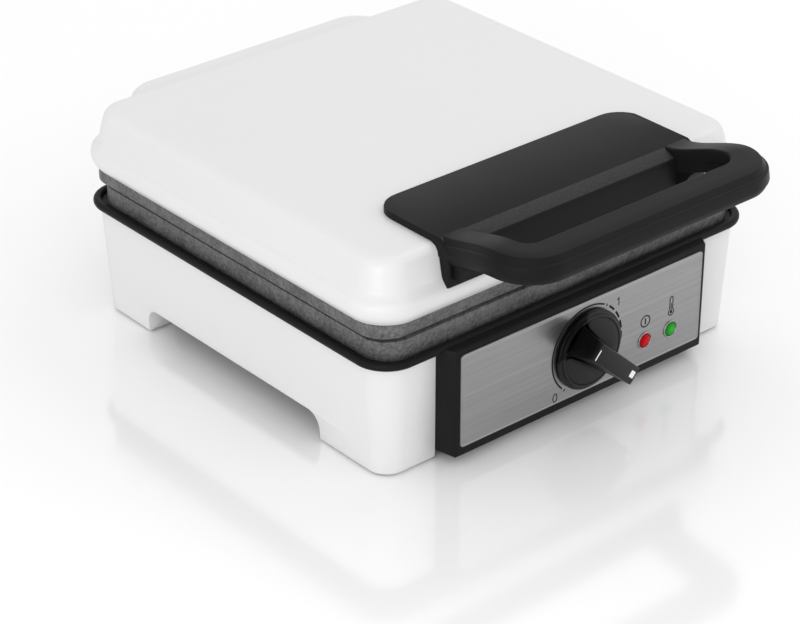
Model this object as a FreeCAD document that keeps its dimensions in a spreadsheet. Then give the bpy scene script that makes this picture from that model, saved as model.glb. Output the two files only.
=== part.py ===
import FreeCAD, Part
import Sketcher
import math
import os
import re

# A table-top waffle maker: a hollow base and a hinged lid, each with a cast waffle plate,
# a tubular heater and a heat shield, and a knob that turns a thermostat.
# Millimetres, +Z up, front towards -Y, origin on the table under the middle of the
# whole outline. Every size is a cell of the sheet "Sizes"; places are worked out from them.

SIZES = {
    # rim of the base, the widest outline
    "rim_width": 235.0, "rim_length": 229.0, "rim_radius": 17.5,
    "rim_flange": 1.4, "rim_lip": 2.4, "rim_ledge": 5.5,
    # what stands out past the rim at the front and at the back
    "handle_reach": 51.5, "hump_reach": 21.5,
    # housing
    "base_height": 58.2, "foot_gap": 1.0, "housing_wall": 2.5, "housing_inset": 3.5,
    "housing_draft": 3.4, "housing_radius": 17.0, "arch_height": 13.6, "arch_radius": 8.0,
    "arch_front": 52.0, "arch_back": 44.5, "cover_thickness": 2.0, "boss_radius": 5.0,
    "foot_radius": 9.0, "foot_inset": 24.0,
    # control panel
    "bezel_width": 157.5, "bezel_flare": 7.5, "bezel_depth": 5.0, "bezel_bottom": 5.0,
    "bezel_top": 60.6, "bezel_wall": 2.5, "panel_width": 152.6, "panel_bottom": 9.9,
    "panel_top": 57.6, "panel_thickness": 0.7, "panel_radius": 2.0,
    # knob, thermostat and lamps
    "knob_place": 1.3, "knob_level": 32.7, "knob_radius": 20.0, "knob_disc": 2.4,
    "knob_grip": 15.5, "knob_bar": 9.0, "knob_angle": -42.0, "knob_gap": 0.5,
    "shaft_radius": 3.0, "running_gap": 0.05, "bushing_radius": 4.5,
    "thermostat_radius": 12.0, "thermostat_length": 16.0,
    "lamp_red_place": 39.3, "lamp_green_place": 56.4, "lamp_level": 22.6,
    "lens_radius": 3.7, "lens_dome": 1.6, "ring_radius": 4.8, "ring_height": 1.0,
    # waffle plates
    "plate_inset": 6.0, "plate_radius": 14.0, "plate_band": 9.8, "plate_gap": 2.0,
    "upper_band": 6.5, "plate_step": 6.0, "plate_floor": 3.0, "waffle_border": 11.5,
    "waffle_end": 15.5, "waffle_depth": 12.0, "waffle_radius": 12.0, "web_width": 8.0,
    "peg_height": 10.0, "peg_groove": 9.0, "peg_taper": 14.0, "peg_columns": 4.0,
    "peg_rows": 7.0,
    # heaters and shields
    "heater_radius": 3.3, "heater_inset": 26.0, "heater_bend": 20.0, "heater_mouth": 40.0,
    "shield_gap": 12.0, "shield_thickness": 1.0, "shield_edge": 5.0, "screw_radius": 2.0,
    "screw_head": 3.8, "screw_head_height": 2.4, "screw_place": 52.0, "standoff_radius": 3.4,
    # lid
    "lid_inset": 3.5, "lid_setback": 5.1, "lid_rear_gap": 0.6, "lid_radius": 18.5,
    "lid_lip_gap": 0.1, "lid_height": 30.0, "lid_wall": 2.5, "lip_bulge": 3.5,
    "hump_width": 160.0, "hump_radius": 20.0, "hump_height": 22.0,
    # hinge
    "hinge_place": 60.0, "hinge_back": 10.5, "hinge_rise": 7.0, "pin_radius": 2.5,
    "post_width": 10.0, "ear_width": 3.0, "ear_gap": 0.5, "knuckle_radius": 6.0,
    # handle
    "handle_width": 156.0, "handle_plate_length": 45.0, "plate_rise": 3.0,
    "handle_radius": 13.0, "apron_depth": 19.0, "grip_width": 163.0, "grip_arm": 18.5,
    "grip_rise": 12.0, "grip_height": 13.0, "grip_depth": 18.0, "seat_gap": 0.2,
    "grip_screw_reach": 8.0,
    # cable outlet
    "gland_radius": 5.5, "gland_flange": 8.5, "gland_length": 14.0, "gland_bore": 3.5,
    "gland_level": 30.0,
}

RIM_FRONT = "(handle_reach - rim_length - hump_reach) / 2"
RIM_BACK = "(handle_reach + rim_length - hump_reach) / 2"
HANDLE_FRONT = "(-(handle_reach + rim_length + hump_reach) / 2)"
MIDDLE = f"({RIM_FRONT} + {RIM_BACK}) / 2"
FLANGE_TOP = "(base_height + rim_flange)"
PARTING = "(base_height + rim_flange + plate_band)"
UPPER_FACE = f"({PARTING} + plate_gap)"
UPPER_TOP = f"({UPPER_FACE} + upper_band)"
LIP = f"({UPPER_TOP} + lid_lip_gap)"
LID_TOP = f"({LIP} + lid_height)"
LID_FRONT = f"({RIM_FRONT} + lid_setback)"
LID_BACK = f"({RIM_BACK} - lid_rear_gap)"
PLATE_TOP = f"({LID_TOP} + plate_rise)"
GRIP_TOP = f"({LID_TOP} + grip_rise)"
HINGE_Y = f"({RIM_BACK} + hump_reach - hinge_back)"
HINGE_Z = f"({LIP} + hinge_rise)"
LOWER_BOTTOM = f"({PARTING} - waffle_depth - plate_floor)"
UPPER_BACK = f"({UPPER_FACE} + waffle_depth + plate_floor)"
BEZEL_FRONT = f"({RIM_FRONT} - bezel_depth)"
PANEL_FACE = f"({BEZEL_FRONT} - panel_thickness)"
SHIELD = f"({LOWER_BOTTOM} - shield_gap - shield_thickness)"
COVER_BOTTOM = "(foot_gap + arch_height)"
WAFFLE_WIDTH = "(rim_width / 2 - plate_inset - waffle_border - web_width / 2)"
WAFFLE_LENGTH = "(rim_length - 2 * (plate_inset + waffle_end))"
APRON = f"({LID_FRONT} - lip_bulge - seat_gap)"

MODEL = FreeCAD.newDocument("WaffleMaker")
SHEET = MODEL.addObject("Spreadsheet::Sheet", "Sizes")
PARTS = {}


def fill_sheet():
    """Write each size as plain text in column B and give its cell an alias."""
    for row, (alias, size) in enumerate(SIZES.items(), start=1):
        SHEET.set(f"A{row}", alias)
        SHEET.set(f"B{row}", str(size))
        SHEET.setAlias(f"B{row}", alias)
    MODEL.recompute()


def link(text):
    """Point each size named in an expression at its cell."""
    def cell(match):
        word = match.group()
        return f"Sizes.{word}" if word in SIZES else word
    return re.sub(r"[a-z_]+", cell, text)


def number(text):
    """Value that an expression has now; sketches start from it."""
    return float(SHEET.evalExpression(link(text)))


def bind(item, setting, text):
    item.setExpression(setting, link(text))


def part(name, item):
    """Register an object as a sub-part; its label names its file."""
    item.Label = name
    PARTS[name] = item
    return item


# ---- sketches and features -------------------------------------------------------------

def new_body(name):
    return MODEL.addObject("PartDesign::Body", name)


def new_sketch(body, name, plane, height):
    sketch = body.newObject("Sketcher::SketchObject", name)
    support = next(item for item in body.Origin.OriginFeatures if item.Role == plane)
    sketch.AttachmentSupport = [(support, "")]
    sketch.MapMode = "FlatFace"
    bind(sketch, "AttachmentOffset.Base.z", height)
    return sketch


def dimension(sketch, kind, name, text, geometry, point):
    """Hold one point at a distance from the sketch origin, or set a radius."""
    if kind == "Radius":
        index = sketch.addConstraint(Sketcher.Constraint(kind, geometry, number(text)))
    else:
        rule = Sketcher.Constraint(kind, -1, 1, geometry, point, number(text))
        index = sketch.addConstraint(rule)
    sketch.renameConstraint(index, name)
    bind(sketch, f"Constraints.{name}", text)


def rounded_rectangle(body, name, edges, radius, height, plane="XY_Plane"):
    """Closed outline with four equal corner arcs; edges are left, right, front, back."""
    sketch = new_sketch(body, name, plane, height)
    left, right, front, back = (number(edge) for edge in edges)
    r = number(radius)
    centres = [(right - r, front + r), (right - r, back - r), (left + r, back - r),
               (left + r, front + r)]
    ends = []
    for quarter, (x, y) in enumerate(centres):
        start = math.radians(90 * quarter - 90)
        circle = Part.Circle(FreeCAD.Vector(x, y, 0), FreeCAD.Vector(0, 0, 1), r)
        arc = Part.ArcOfCircle(circle, start, start + math.pi / 2)
        sketch.addGeometry(arc)
        ends.append((arc.StartPoint, arc.EndPoint))
    for corner in range(4):
        following = (corner + 1) % 4
        side = sketch.addGeometry(Part.LineSegment(ends[corner][1], ends[following][0]))
        sketch.addConstraint(Sketcher.Constraint("Tangent", corner, 2, side, 1))
        sketch.addConstraint(Sketcher.Constraint("Tangent", side, 2, following, 1))
        upright = "Vertical" if corner % 2 == 0 else "Horizontal"
        sketch.addConstraint(Sketcher.Constraint(upright, side))
    for corner in (1, 2, 3):
        sketch.addConstraint(Sketcher.Constraint("Equal", 0, corner))
    dimension(sketch, "Radius", "corner", radius, 0, 0)
    dimension(sketch, "DistanceX", "right", edges[1], 4, 1)
    dimension(sketch, "DistanceY", "back", edges[3], 5, 1)
    dimension(sketch, "DistanceX", "left", edges[0], 6, 1)
    dimension(sketch, "DistanceY", "front", edges[2], 7, 1)
    return sketch


def polygon(body, name, points, height, plane="YZ_Plane"):
    """Closed outline of straight sides through points given as pairs of expressions."""
    sketch = new_sketch(body, name, plane, height)
    places = [FreeCAD.Vector(number(x), number(y), 0) for x, y in points]
    count = len(points)
    for index, place in enumerate(places):
        sketch.addGeometry(Part.LineSegment(place, places[(index + 1) % count]))
    for index in range(count):
        meeting = Sketcher.Constraint("Coincident", index, 2, (index + 1) % count, 1)
        sketch.addConstraint(meeting)
    for index, (x, y) in enumerate(points):
        dimension(sketch, "DistanceX", f"across{index}", x, index, 1)
        dimension(sketch, "DistanceY", f"along{index}", y, index, 1)
    return sketch


def feature(body, kind, name, sketch, length, taper=None, reverse=False):
    """Pad or Pocket of a sketch, with its length and taper bound to the sheet."""
    item = body.newObject(f"PartDesign::{kind}", name)
    item.Profile = sketch
    bind(item, "Length", length)
    if taper is not None:
        bind(item, "TaperAngle", taper)
    item.Reversed = reverse
    sketch.Visibility = False
    body.Tip = item
    return item


def rounded_block(name, edges, radius, bottom, height, taper=None):
    body = new_body(name)
    sketch = rounded_rectangle(body, f"{name}_outline", edges, radius, bottom)
    feature(body, "Pad", f"{name}_pad", sketch, height, taper)
    return body


def prism(name, points, start, length, plane="YZ_Plane"):
    body = new_body(name)
    sketch = polygon(body, f"{name}_profile", points, start, plane)
    feature(body, "Pad", f"{name}_pad", sketch, length)
    return body


def stack(name, levels):
    """Solid through rounded rectangles at several levels: (edges, radius, level) each."""
    body = new_body(name)
    sketches = [rounded_rectangle(body, f"{name}_level{index}", *level)
                for index, level in enumerate(levels)]
    loft = body.newObject("PartDesign::AdditiveLoft", f"{name}_loft")
    loft.Profile = sketches[0]
    loft.Sections = sketches[1:]
    loft.Ruled = True
    body.Tip = loft
    return body


def grown(edges, text):
    """Edges moved outwards by a distance."""
    left, right, front, back = edges
    return (f"{left} - ({text})", f"{right} + ({text})",
            f"{front} - ({text})", f"{back} + ({text})")


def centred(width, front, back):
    return (f"-({width}) / 2", f"({width}) / 2", front, back)


# ---- primitives and booleans -----------------------------------------------------------

def box(name, across, along, upward):
    """Box between pairs of expressions along X, Y and Z."""
    item = MODEL.addObject("Part::Box", name)
    spans = (("Length", "x", across), ("Width", "y", along), ("Height", "z", upward))
    for size, axis, (low, high) in spans:
        bind(item, size, f"({high}) - ({low})")
        bind(item, f"Placement.Base.{axis}", low)
    return item


TURNS = {
    "z": FreeCAD.Rotation(),
    "y": FreeCAD.Rotation(FreeCAD.Vector(1, 0, 0), -90),
    "x": FreeCAD.Rotation(FreeCAD.Vector(0, 1, 0), 90),
}


def rod(name, axis, start, radius, length):
    """Cylinder from a start point along +X, +Y or +Z."""
    item = MODEL.addObject("Part::Cylinder", name)
    item.Placement = FreeCAD.Placement(FreeCAD.Vector(), TURNS[axis])
    bind(item, "Radius", radius)
    bind(item, "Height", length)
    for letter, place in zip("xyz", start):
        bind(item, f"Placement.Base.{letter}", place)
    return item


def fuse(name, solids):
    item = MODEL.addObject("Part::MultiFuse", name)
    item.Shapes = solids
    return item


def cut(name, base, tools):
    tool = tools[0] if len(tools) == 1 else fuse(f"{name}_tools", tools)
    item = MODEL.addObject("Part::Cut", name)
    item.Base = base
    item.Tool = tool
    return item


def common(name, first, second):
    item = MODEL.addObject("Part::MultiCommon", name)
    item.Shapes = [first, second]
    return item


def group(name, solids):
    item = MODEL.addObject("Part::Compound", name)
    item.Links = solids
    return item


def corners(x, front, back):
    """The four places mirrored left and right, at the front and the back."""
    return [(f"{sign}({x})", y) for sign in ("-", "") for y in (front, back)]


SIDES = {"left": "-", "right": ""}


# ---- base ------------------------------------------------------------------------------

RIM = centred("rim_width", RIM_FRONT, RIM_BACK)
HOUSING_TOP = grown(RIM, "-housing_inset")
HOUSING_FOOT = grown(RIM, "-housing_inset - housing_draft")
COVER_SCREWS = corners("rim_width / 2 - housing_inset - housing_draft - housing_wall"
                       " - boss_radius + 1", f"{RIM_FRONT} + 18", f"{RIM_BACK} - 18")
FEET = corners("rim_width / 2 - foot_inset", f"{RIM_FRONT} + foot_inset + 6",
               f"{RIM_BACK} - foot_inset - 6")
PLATE_SCREWS = corners("screw_place", f"{RIM_FRONT} + plate_inset + waffle_end - 3",
                       f"{RIM_BACK} - plate_inset - waffle_end + 3")


def base_housing():
    """White draught-moulded wall, open above and below, arched along both sides."""
    outer = stack("housing_outer", [
        (HOUSING_FOOT, "housing_radius - 1.5", "foot_gap"),
        (HOUSING_TOP, "housing_radius", "base_height")])
    inner = stack("housing_inner", [
        (grown(HOUSING_FOOT, "-housing_wall"), "housing_radius - housing_wall - 1.5",
         "foot_gap"),
        (grown(HOUSING_TOP, "-housing_wall"), "housing_radius - housing_wall",
         "base_height")])
    shell = cut("housing_shell", outer, [inner])
    bosses = [rod(f"housing_boss{index}", "z", (x, y, f"{COVER_BOTTOM} + cover_thickness"),
                  "boss_radius", f"{SHIELD} - 3 - {COVER_BOTTOM} - cover_thickness")
              for index, (x, y) in enumerate(COVER_SCREWS)]
    body = fuse("housing_bossed", [shell, *bosses])
    arch = new_body("housing_arch")
    outline = rounded_rectangle(
        arch, "arch_outline",
        (f"{RIM_FRONT} + arch_front", f"{RIM_BACK} - arch_back", "-arch_height",
         COVER_BOTTOM), "arch_radius", "-rim_width / 2", "YZ_Plane")
    feature(arch, "Pad", "arch_pad", outline, "rim_width")
    window = box("housing_window", ("-bezel_width / 2 - 4", "bezel_width / 2 + 4"),
                 (f"{RIM_FRONT}", f"{RIM_FRONT} + 16"), ("0", "base_height"))
    outlet = rod("housing_outlet", "y", ("0", f"{RIM_BACK} - 20", "gland_level"),
                 "gland_radius", "20")
    screws = [rod(f"housing_pilot{index}", "z", (x, y, COVER_BOTTOM), "screw_radius", "16")
              for index, (x, y) in enumerate(COVER_SCREWS)]
    part("base_housing", cut("base_housing", body, [arch, window, outlet, *screws]))


def base_surround():
    """Black rim with a plate seat, in one moulding with the front control bezel."""
    ring = rounded_block("rim_ring", RIM, "rim_radius", "base_height",
                         "rim_flange + rim_lip")
    seat = rounded_block("rim_seat", grown(RIM, "0.6 - plate_inset"), "plate_radius + 0.6",
                         FLANGE_TOP, "rim_lip")
    hole = rounded_block("rim_hole", grown(RIM, "0.6 - plate_inset - rim_ledge"),
                         "plate_radius - rim_ledge + 1", "base_height", "rim_flange")
    rim = cut("rim_frame", ring, [seat, hole])
    front = "bezel_width / 2"
    rear = "bezel_width / 2 + bezel_flare"
    plan = prism("bezel_plan", [
        (f"-({rear})", f"{RIM_FRONT} + 8"), (f"-({front})", BEZEL_FRONT),
        (front, BEZEL_FRONT), (rear, f"{RIM_FRONT} + 8")],
        "bezel_bottom", "bezel_top - bezel_bottom", "XY_Plane")
    side = prism("bezel_side", [
        (BEZEL_FRONT, "bezel_bottom"), (BEZEL_FRONT, "bezel_top"),
        (f"{RIM_FRONT} + 1", "bezel_top"), (f"{RIM_FRONT} + housing_inset", "base_height"),
        (f"{RIM_FRONT} + housing_inset + housing_draft - 0.4", "bezel_bottom")],
        "-rim_width / 2", "rim_width")
    bezel = common("bezel_block", plan, side)
    tongue = box("bezel_tongue", ("-bezel_width / 2 - 3.8", "bezel_width / 2 + 3.8"),
                 (f"{RIM_FRONT} + 2", f"{RIM_FRONT} + 10"), ("bezel_bottom", "base_height"))
    hollow = box("bezel_hollow", (f"bezel_wall - ({front})", f"{front} - bezel_wall"),
                 (f"{BEZEL_FRONT} + bezel_wall", f"{RIM_FRONT} + 12"),
                 ("bezel_bottom + bezel_wall", "base_height - bezel_wall"))
    blank = fuse("surround_blank", [rim, bezel, tongue])
    part("base_surround", cut("base_surround", blank, [hollow, *panel_holes("surround")]))


def panel_holes(name):
    """Bores through the panel for the thermostat bushing and the two lamps."""
    start = f"{BEZEL_FRONT} - 2"
    depth = "bezel_wall + 4"
    holes = [rod(f"{name}_shaft_hole", "y", ("knob_place", start, "knob_level"),
                 "bushing_radius", depth)]
    for place in ("lamp_red_place", "lamp_green_place"):
        holes.append(rod(f"{name}_{place}", "y", (place, start, "lamp_level"),
                         "lens_radius", depth))
    return holes


def control_plate():
    """Brushed sheet stuck on the bezel."""
    sheet = new_body("panel_sheet")
    outline = rounded_rectangle(
        sheet, "panel_outline", centred("panel_width", "panel_bottom", "panel_top"),
        "panel_radius", f"-{BEZEL_FRONT}", "XZ_Plane")
    feature(sheet, "Pad", "panel_pad", outline, "panel_thickness")
    part("control_plate", cut("control_plate", sheet, panel_holes("panel")))


def waffle_plate(name, edges, body_level, flange_level, flange_height, face, inward):
    """Cast tray with two waffle cavities and, as a node of its own, their pegs."""
    body = new_body(name)
    core = rounded_rectangle(body, f"{name}_core", grown(RIM, "-plate_inset - plate_step"),
                             "plate_radius - plate_step", body_level)
    feature(body, "Pad", f"{name}_core_pad", core, "waffle_depth + plate_floor")
    flange = rounded_rectangle(body, f"{name}_flange", edges, "plate_radius", flange_level)
    feature(body, "Pad", f"{name}_flange_pad", flange, flange_height)
    for side, sign in SIDES.items():
        inner, outer = "web_width / 2", f"web_width / 2 + {WAFFLE_WIDTH}"
        spans = (inner, outer) if sign == "" else (f"-({outer})", f"-{inner}")
        field = rounded_rectangle(
            body, f"{name}_{side}_field",
            (*spans, f"{MIDDLE} - {WAFFLE_LENGTH} / 2", f"{MIDDLE} + {WAFFLE_LENGTH} / 2"),
            "waffle_radius", face)
        feature(body, "Pocket", f"{name}_{side}_cavity", field, "waffle_depth",
                reverse=inward)
    return body


def plate_pegs(name, floor, inward):
    """Tapered pegs that stand on the cavity floors of a plate."""
    body = new_body(name)
    body.AllowCompound = True
    pitch_x, pitch_y = f"{WAFFLE_WIDTH} / peg_columns", f"{WAFFLE_LENGTH} / peg_rows"
    first_x = f"web_width / 2 + {pitch_x} / 2"
    first_y = f"{MIDDLE} - {WAFFLE_LENGTH} / 2 + {pitch_y} / 2"
    half_x, half_y = f"({pitch_x} - peg_groove) / 2", f"({pitch_y} - peg_groove) / 2"
    foot = rounded_rectangle(
        body, f"{name}_peg_outline",
        (f"{first_x} - {half_x}", f"{first_x} + {half_x}",
         f"{first_y} - {half_y}", f"{first_y} + {half_y}"), "1.5", floor)
    peg = feature(body, "Pad", f"{name}_peg", foot, "peg_height", "-peg_taper", inward)
    rows = pattern(foot, f"{name}_rows", "V_Axis", "peg_rows", pitch_y)
    columns = pattern(foot, f"{name}_columns", "H_Axis", "peg_columns", pitch_x)
    mirror = MODEL.addObject("PartDesign::Mirrored", f"{name}_mirror")
    mirror.MirrorPlane = (next(item for item in body.Origin.OriginFeatures
                               if item.Role == "YZ_Plane"), [""])
    pegs = body.newObject("PartDesign::MultiTransform", f"{name}_pegs")
    pegs.Originals = [peg]
    pegs.Transformations = [rows, columns, mirror]
    body.Tip = pegs
    part(name, body)


def pattern(sketch, name, axis, count, pitch):
    item = MODEL.addObject("PartDesign::LinearPattern", name)
    item.Direction = (sketch, [axis])
    bind(item, "Length", f"({count} - 1) * {pitch}")
    bind(item, "Occurrences", count)
    return item


def drilled(name, blank, level, length):
    """Cut the four plate-screw holes."""
    holes = [rod(f"{name}_hole{index}", "z", (x, y, level), "screw_radius", length)
             for index, (x, y) in enumerate(PLATE_SCREWS)]
    return part(name, cut(name, blank, holes))


def heater(name, level):
    """Tubular element bent round the plate, its two ends facing each other at the back."""
    body = new_body(name)
    left, right, front, back = grown(RIM, "-heater_inset")
    x0, x1, y0, y1 = (number(edge) for edge in (left, right, front, back))
    r, gap = number("heater_bend"), number("heater_mouth") / 2
    path = new_sketch(body, f"{name}_path", "XY_Plane", level)
    turns = [(x1 - r, y1 - r, 90, 0), (x1 - r, y0 + r, 0, -90), (x0 + r, y0 + r, 270, 180),
             (x0 + r, y1 - r, 180, 90)]
    arcs = []
    for x, y, start, end in turns:
        circle = Part.Circle(FreeCAD.Vector(x, y, 0), FreeCAD.Vector(0, 0, 1), r)
        arc = Part.ArcOfCircle(circle, math.radians(end), math.radians(start))
        path.addGeometry(arc)
        arcs.append(arc)
    first = Part.LineSegment(FreeCAD.Vector(gap, y1, 0), arcs[0].EndPoint)
    last = Part.LineSegment(arcs[3].StartPoint, FreeCAD.Vector(-gap, y1, 0))
    runs = [path.addGeometry(first)]
    for before, after in zip(arcs, arcs[1:]):
        runs.append(path.addGeometry(Part.LineSegment(before.StartPoint, after.EndPoint)))
    runs.append(path.addGeometry(last))
    for turn in range(4):
        path.addConstraint(Sketcher.Constraint("Tangent", runs[turn], 2, turn, 2))
        path.addConstraint(Sketcher.Constraint("Tangent", turn, 1, runs[turn + 1], 1))
    for run, rule in zip(runs, ("Horizontal", "Vertical", "Horizontal", "Vertical",
                                "Horizontal")):
        path.addConstraint(Sketcher.Constraint(rule, run))
    for turn in (1, 2, 3):
        path.addConstraint(Sketcher.Constraint("Equal", 0, turn))
    dimension(path, "Radius", "bend", "heater_bend", 0, 0)
    dimension(path, "DistanceX", "right", right, runs[1], 1)
    dimension(path, "DistanceY", "front", front, runs[2], 1)
    dimension(path, "DistanceX", "left", left, runs[3], 1)
    dimension(path, "DistanceY", "back", back, runs[0], 1)
    dimension(path, "DistanceX", "start", "heater_mouth / 2", runs[0], 1)
    dimension(path, "DistanceX", "finish", "-heater_mouth / 2", runs[4], 2)
    tube = new_sketch(body, f"{name}_section", "YZ_Plane", "heater_mouth / 2")
    ring = tube.addGeometry(Part.Circle(FreeCAD.Vector(y1, number(level), 0),
                                        FreeCAD.Vector(0, 0, 1), number("heater_radius")))
    dimension(tube, "Radius", "tube", "heater_radius", ring, 0)
    dimension(tube, "DistanceX", "back", back, ring, 3)
    dimension(tube, "DistanceY", "level", level, ring, 3)
    pipe = body.newObject("PartDesign::AdditivePipe", f"{name}_pipe")
    pipe.Profile = tube
    pipe.Spine = path
    body.Tip = pipe
    part(name, body)


def heat_shield(name, level, rim_up):
    """Thin steel tray whose turned edge faces its plate."""
    edges = grown(RIM, "-plate_inset - plate_step - 2")
    radius = "plate_radius - plate_step"
    tray = new_body(f"{name}_tray")
    outline = rounded_rectangle(tray, f"{name}_outline", edges, radius,
                                level if rim_up else f"{level} - shield_edge")
    feature(tray, "Pad", f"{name}_pad", outline, "shield_thickness + shield_edge")
    inner = rounded_rectangle(
        tray, f"{name}_inner", grown(edges, "-shield_thickness"),
        f"{radius} - shield_thickness",
        f"{level} + shield_thickness + shield_edge" if rim_up else f"{level} - shield_edge")
    feature(tray, "Pocket", f"{name}_dish", inner, "shield_edge", reverse=not rim_up)
    start = f"{level} - shield_edge - 1" if not rim_up else f"{level} - 1"
    drilled(name, tray, start, "shield_edge + shield_thickness + 2")


def standoffs(name, start, length):
    """Four tubes that hold a shield away from its plate."""
    tubes = []
    for index, (x, y) in enumerate(PLATE_SCREWS):
        sleeve = rod(f"{name}_sleeve{index}", "z", (x, y, start), "standoff_radius", length)
        bore = rod(f"{name}_bore{index}", "z", (x, y, start), "screw_radius", length)
        tubes.append(cut(f"{name}_tube{index}", sleeve, [bore]))
    part(name, group(name, tubes))


def screws(name, places, head_start, head_length, shank_start, shank_length):
    """Identical pan-head screws standing along Z."""
    solids = []
    for index, (x, y) in enumerate(places):
        head = rod(f"{name}_head{index}", "z", (x, y, head_start), "screw_head", head_length)
        shank = rod(f"{name}_shank{index}", "z", (x, y, shank_start), "screw_radius",
                    shank_length)
        solids.append(fuse(f"{name}_screw{index}", [head, shank]))
    part(name, group(name, solids))


def lower_heating():
    lower = waffle_plate("lower_plate_blank", grown(RIM, "-plate_inset"), LOWER_BOTTOM,
                         FLANGE_TOP, "plate_band", PARTING, False)
    drilled("lower_waffle_plate", lower, f"{LOWER_BOTTOM} - 1", "8")
    plate_pegs("lower_plate_pegs", f"{PARTING} - waffle_depth", False)
    heater("lower_heating_element", f"{LOWER_BOTTOM} - heater_radius")
    heat_shield("lower_heat_shield", SHIELD, True)
    standoffs("lower_standoffs", f"{LOWER_BOTTOM} - shield_gap", "shield_gap")
    screws("lower_plate_screws", PLATE_SCREWS, f"{SHIELD} - screw_head_height",
           "screw_head_height", f"{SHIELD} - 1", "shield_gap + shield_thickness + 8")


def bottom_pieces():
    """Cover set above the side arches, its screws and the four rubber feet."""
    cover = rounded_block("cover_blank", grown(HOUSING_FOOT, "-housing_wall - 0.3"),
                          "housing_radius - housing_wall - 2", COVER_BOTTOM,
                          "cover_thickness")
    clear = box("cover_clear", ("-bezel_width / 2 - 6", "bezel_width / 2 + 6"),
                (RIM_FRONT, f"{RIM_FRONT} + 11"), ("0", "base_height"))
    holes = [rod(f"cover_hole{index}", "z", (x, y, COVER_BOTTOM), "screw_radius",
                 "cover_thickness") for index, (x, y) in enumerate(COVER_SCREWS)]
    part("bottom_cover", cut("bottom_cover", cover, [clear, *holes]))
    screws("bottom_cover_screws", COVER_SCREWS, f"{COVER_BOTTOM} - screw_head_height",
           "screw_head_height", f"{COVER_BOTTOM} - 1", "14")
    feet = [rod(f"foot{index}", "z", (x, y, "0"), "foot_radius", COVER_BOTTOM)
            for index, (x, y) in enumerate(FEET)]
    part("rubber_feet", group("rubber_feet", feet))


def control_pieces():
    """Thermostat behind the panel, lamps with their rings and holders."""
    back = f"{BEZEL_FRONT} + bezel_wall"
    case = rod("thermostat_case", "y", ("knob_place", back, "knob_level"),
               "thermostat_radius", "thermostat_length")
    bushing = rod("thermostat_bushing", "y", ("knob_place", BEZEL_FRONT, "knob_level"),
                  "bushing_radius", "bezel_wall + 1")
    bore = rod("thermostat_bore", "y", ("knob_place", BEZEL_FRONT, "knob_level"),
               "shaft_radius + running_gap", "bezel_wall + thermostat_length - 3")
    solid = fuse("thermostat_solid", [case, bushing])
    part("thermostat_body", cut("thermostat_body", solid, [bore]))
    rings, holders = [], []
    lamps = {"power_lamp_lens": "lamp_red_place", "ready_lamp_lens": "lamp_green_place"}
    for name, place in lamps.items():
        face = f"{PANEL_FACE} - lens_dome"
        part(name, rod(name, "y", (place, face, "lamp_level"), "lens_radius",
                       "lens_dome + panel_thickness + bezel_wall + 1"))
        outer = rod(f"{name}_ring", "y", (place, f"{PANEL_FACE} - ring_height", "lamp_level"),
                    "ring_radius", "ring_height")
        inner = rod(f"{name}_ring_bore", "y",
                    (place, f"{PANEL_FACE} - ring_height", "lamp_level"), "lens_radius",
                    "ring_height")
        rings.append(cut(f"{name}_bezel", outer, [inner]))
        cup = rod(f"{name}_cup", "y", (place, back, "lamp_level"), "ring_radius + 1", "9")
        well = rod(f"{name}_well", "y", (place, back, "lamp_level"), "lens_radius", "5")
        holders.append(cut(f"{name}_holder", cup, [well]))
    part("lamp_rings", group("lamp_rings", rings))
    part("lamp_holders", group("lamp_holders", holders))
    part("terminal_block", box("terminal_block", ("-16", "16"),
                               (f"{RIM_BACK} - 42", f"{RIM_BACK} - 28"),
                               (f"{COVER_BOTTOM} + cover_thickness",
                                f"{COVER_BOTTOM} + cover_thickness + 12")))


def cord_gland():
    """Flanged rubber bushing in the rear wall."""
    wall = f"{RIM_BACK} - housing_inset"
    flange = rod("gland_collar", "y", ("0", wall, "gland_level"), "gland_flange", "3")
    tail = rod("gland_tail", "y", ("0", f"{wall} - 6", "gland_level"), "gland_radius",
               "gland_length + 6")
    bore = rod("gland_hole", "y", ("0", f"{wall} - 6", "gland_level"), "gland_bore",
               "gland_length + 6")
    solid = fuse("gland_solid", [flange, tail])
    part("cord_gland", cut("cord_gland", solid, [bore]))


# ---- hinge -----------------------------------------------------------------------------

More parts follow.
